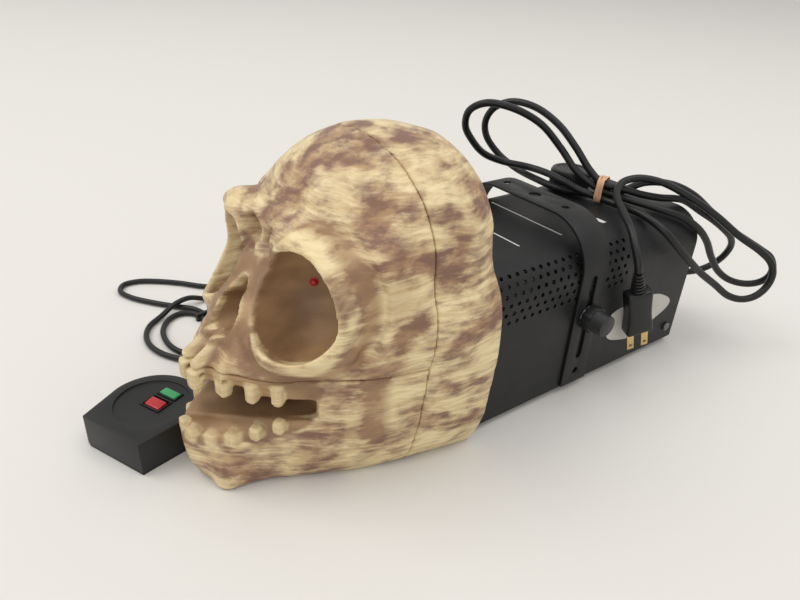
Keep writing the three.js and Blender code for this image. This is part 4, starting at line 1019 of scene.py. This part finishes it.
plug_block = rounded_block("plug_block", (-6.8, -11.8, -62), (6.8, 11.8, -18), 2.6,
                           place(*plug_top), plug_turn, 3, waisted)
relief = []
for i in range(7):
    top = -0.5 - i * 2.9
    radius = 4.0 + i * 0.38
    relief += [(radius, top), (radius, top - 1.7), (radius - 0.9, top - 1.9),
               (radius - 0.9, top - 2.7)]
relief_points = [(0, 0.0)] + [(r / 1000, z / 1000) for r, z in relief] + [(0.0, -0.021)]
plug_relief = lathed("plug_relief", relief_points, place(*plug_top), plug_turn, 24)
plug_mesh = joined("plug_moulding", plug_block, plug_relief)
mesh_object("plug_moulding", smooth_by_angle(plug_mesh, math.radians(40)), "machine",
            "cord_black", "plug_body")
for blade_name, node_name, y in (("blade_front", "plug_blade_front", -6.35),
                                 ("blade_rear", "plug_blade_rear", 6.35)):
    blade = rounded_block(blade_name, (-0.75, y - 3.0, -82), (0.75, y + 3.2, -60.5), 0.35,
                          place(*plug_top), plug_turn, 2)
    carrier = bpy.data.objects.new(blade_name, blade)
    drill = bpy.data.objects.new("drill", lathed("drill", [(0, -0.002), (0.0015, -0.002),
                                                            (0.0015, 0.002), (0, 0.002)],
                                                 Vector(place(*plug_top)) + plug_turn @ Vector(
                                                     (0, y / 1000, -0.0775)),
                                                 plug_turn @ Matrix.Rotation(math.pi / 2, 4, "Y"),
                                                 16))
    for obj in (carrier, drill):
        scene.collection.objects.link(obj)
    bore = carrier.modifiers.new("bore", "BOOLEAN")
    bore.operation, bore.object, bore.solver = "DIFFERENCE", drill, "EXACT"
    blade_mesh = applied(carrier)
    bpy.data.objects.remove(drill)
    mesh_object(blade_name, smooth_by_angle(blade_mesh), "machine", "brass", node_name)

# ---- Rubber band ----
# A wide tan band passed three times round the four strands of the hank; each turn lies a
# little askew and wrinkled.
band_low, band_high = (Vector(corner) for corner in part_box("rubber_band"))
band_centre = (band_low + band_high) / 2
band_turn = Matrix.Rotation(math.atan2(0.353, 0.936), 4, "Z")
band_shape = bmesh.new()
band_steps, band_section = 72, 8
for turn_index, along in enumerate((-1.9, 0.1, 2.0)):
    rings = []
    for i in range(band_steps):
        t = i * math.tau / band_steps
        wobble = 0.22 * math.sin(3 * t + turn_index * 2.1) + 0.12 * math.sin(7 * t + turn_index)
        across = 8.75 * math.copysign(abs(math.cos(t)) ** 0.62, math.cos(t))
        height = 11.0 * math.copysign(abs(math.sin(t)) ** 0.62, math.sin(t))
        out = Vector((0, across / 8.75 ** 2, height / 11.0 ** 2)).normalized()
        ring_verts = []
        for j in range(band_section):
            a = j * math.tau / band_section
            middle = Vector((along + wobble + 0.25 * turn_index * math.sin(t), across, height))
            offset = Vector((1, 0, 0)) * 1.05 * math.cos(a) + out * 0.42 * math.sin(a)
            ring_verts.append(band_shape.verts.new((middle + offset) / 1000))
        rings.append(ring_verts)
    bridged(band_shape, rings, band_section)
band_mesh = set_down(band_shape, "hank_band", band_centre, band_turn)
mesh_object("hank_band", smooth_by_angle(band_mesh, math.radians(60)), "machine", "band_tan",
            "rubber_band")

# ---- Wired remote ----
# Two halves moulded in black plastic and snapped together, a rocker and a lamp pressed into
# their bezels, and a relief where the lead leaves.
softened("remote_case", 1.0, "remote_shell", 34, 3)
softened("remote_base", 0.5, "remote_bottom")
softened("rocker_bezel", 0.35, "rocker_frame")
softened("lamp_bezel", 0.35, "lamp_frame")
softened("remote_gland", 0.7, "remote_relief")
softened("rocker_switch", 0.9, "rocker_key", 30, 3)
softened("lamp_lens", 0.5, "lamp_window", 30, 3)

# ---- Blank printed panels and a pale dash ----
# Flat white ink and a bare pale label on the painted case: two thin rules on top and a
# soft-edged blank patch on the near side. A short dash on top is a small patch of the same flat
# white. No lettering of any kind.
flat_white = finish("label_ink", (0.62, 0.62, 0.6), 0.55, 900, 0.1, 0.15)
film = finish("label_film", (0.5, 0.49, 0.46), 0.5, 900, 0.15, 0.35)


def flat_patch(name, outline, thickness, direction, paint_material):
    """A thin flat film: an outline raised slightly off the painted sheet."""
    work = bmesh.new()
    base = [work.verts.new(place(*p)) for p in outline]
    top = [work.verts.new(Vector(place(*p)) + Vector(direction) * thickness / 1000)
           for p in outline]
    work.faces.new(base[::-1])
    work.faces.new(top)
    count = len(outline)
    for i in range(count):
        work.faces.new((base[i], base[(i + 1) % count], top[(i + 1) % count], top[i]))
    bmesh.ops.recalc_face_normals(work, faces=work.faces)
    mesh = mesh_from(work, name)
    obj = bpy.data.objects.new(name, mesh)
    scene.collection.objects.link(obj)
    mesh.materials.append(paint_material)
    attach(obj, "machine")
    return obj


top_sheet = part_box("top_cover")[1][2] * 1000 + 0.02
for name, (x0, x1, y0, y1) in {"rule_rear": (-40.5, 38.6, 113.2, 114.6),
                               "rule_front": (9.5, 37.2, 68.6, 69.9)}.items():
    flat_patch(name, [(x0, y0, top_sheet), (x1, y0, top_sheet), (x1, y1, top_sheet),
                      (x0, y1, top_sheet)], 0.12, (0, 0, 1), flat_white)
# a small pale patch on top, in the same flat white as the rules
flat_patch("blank_tag", [(30, 163, top_sheet), (38, 163, top_sheet), (39, 164.2, top_sheet),
                         (39, 167.4, top_sheet), (30, 167.8, top_sheet), (29, 166.6, top_sheet)],
           0.12, (0, 0, 1), flat_white)
patch_edge = []
for i in range(72):
    turn = 2 * math.pi * i / 72
    swell = 1 + 0.08 * math.sin(3 * turn + 0.6) + 0.05 * math.sin(5 * turn + 2)
    patch_edge.append((70.03, 196 + 44 * swell * math.cos(turn), 46 + 19 * swell * math.sin(turn)))
flat_patch("blank_patch", patch_edge, 0.12, (1, 0, 0), film)

bpy.context.view_layer.update()
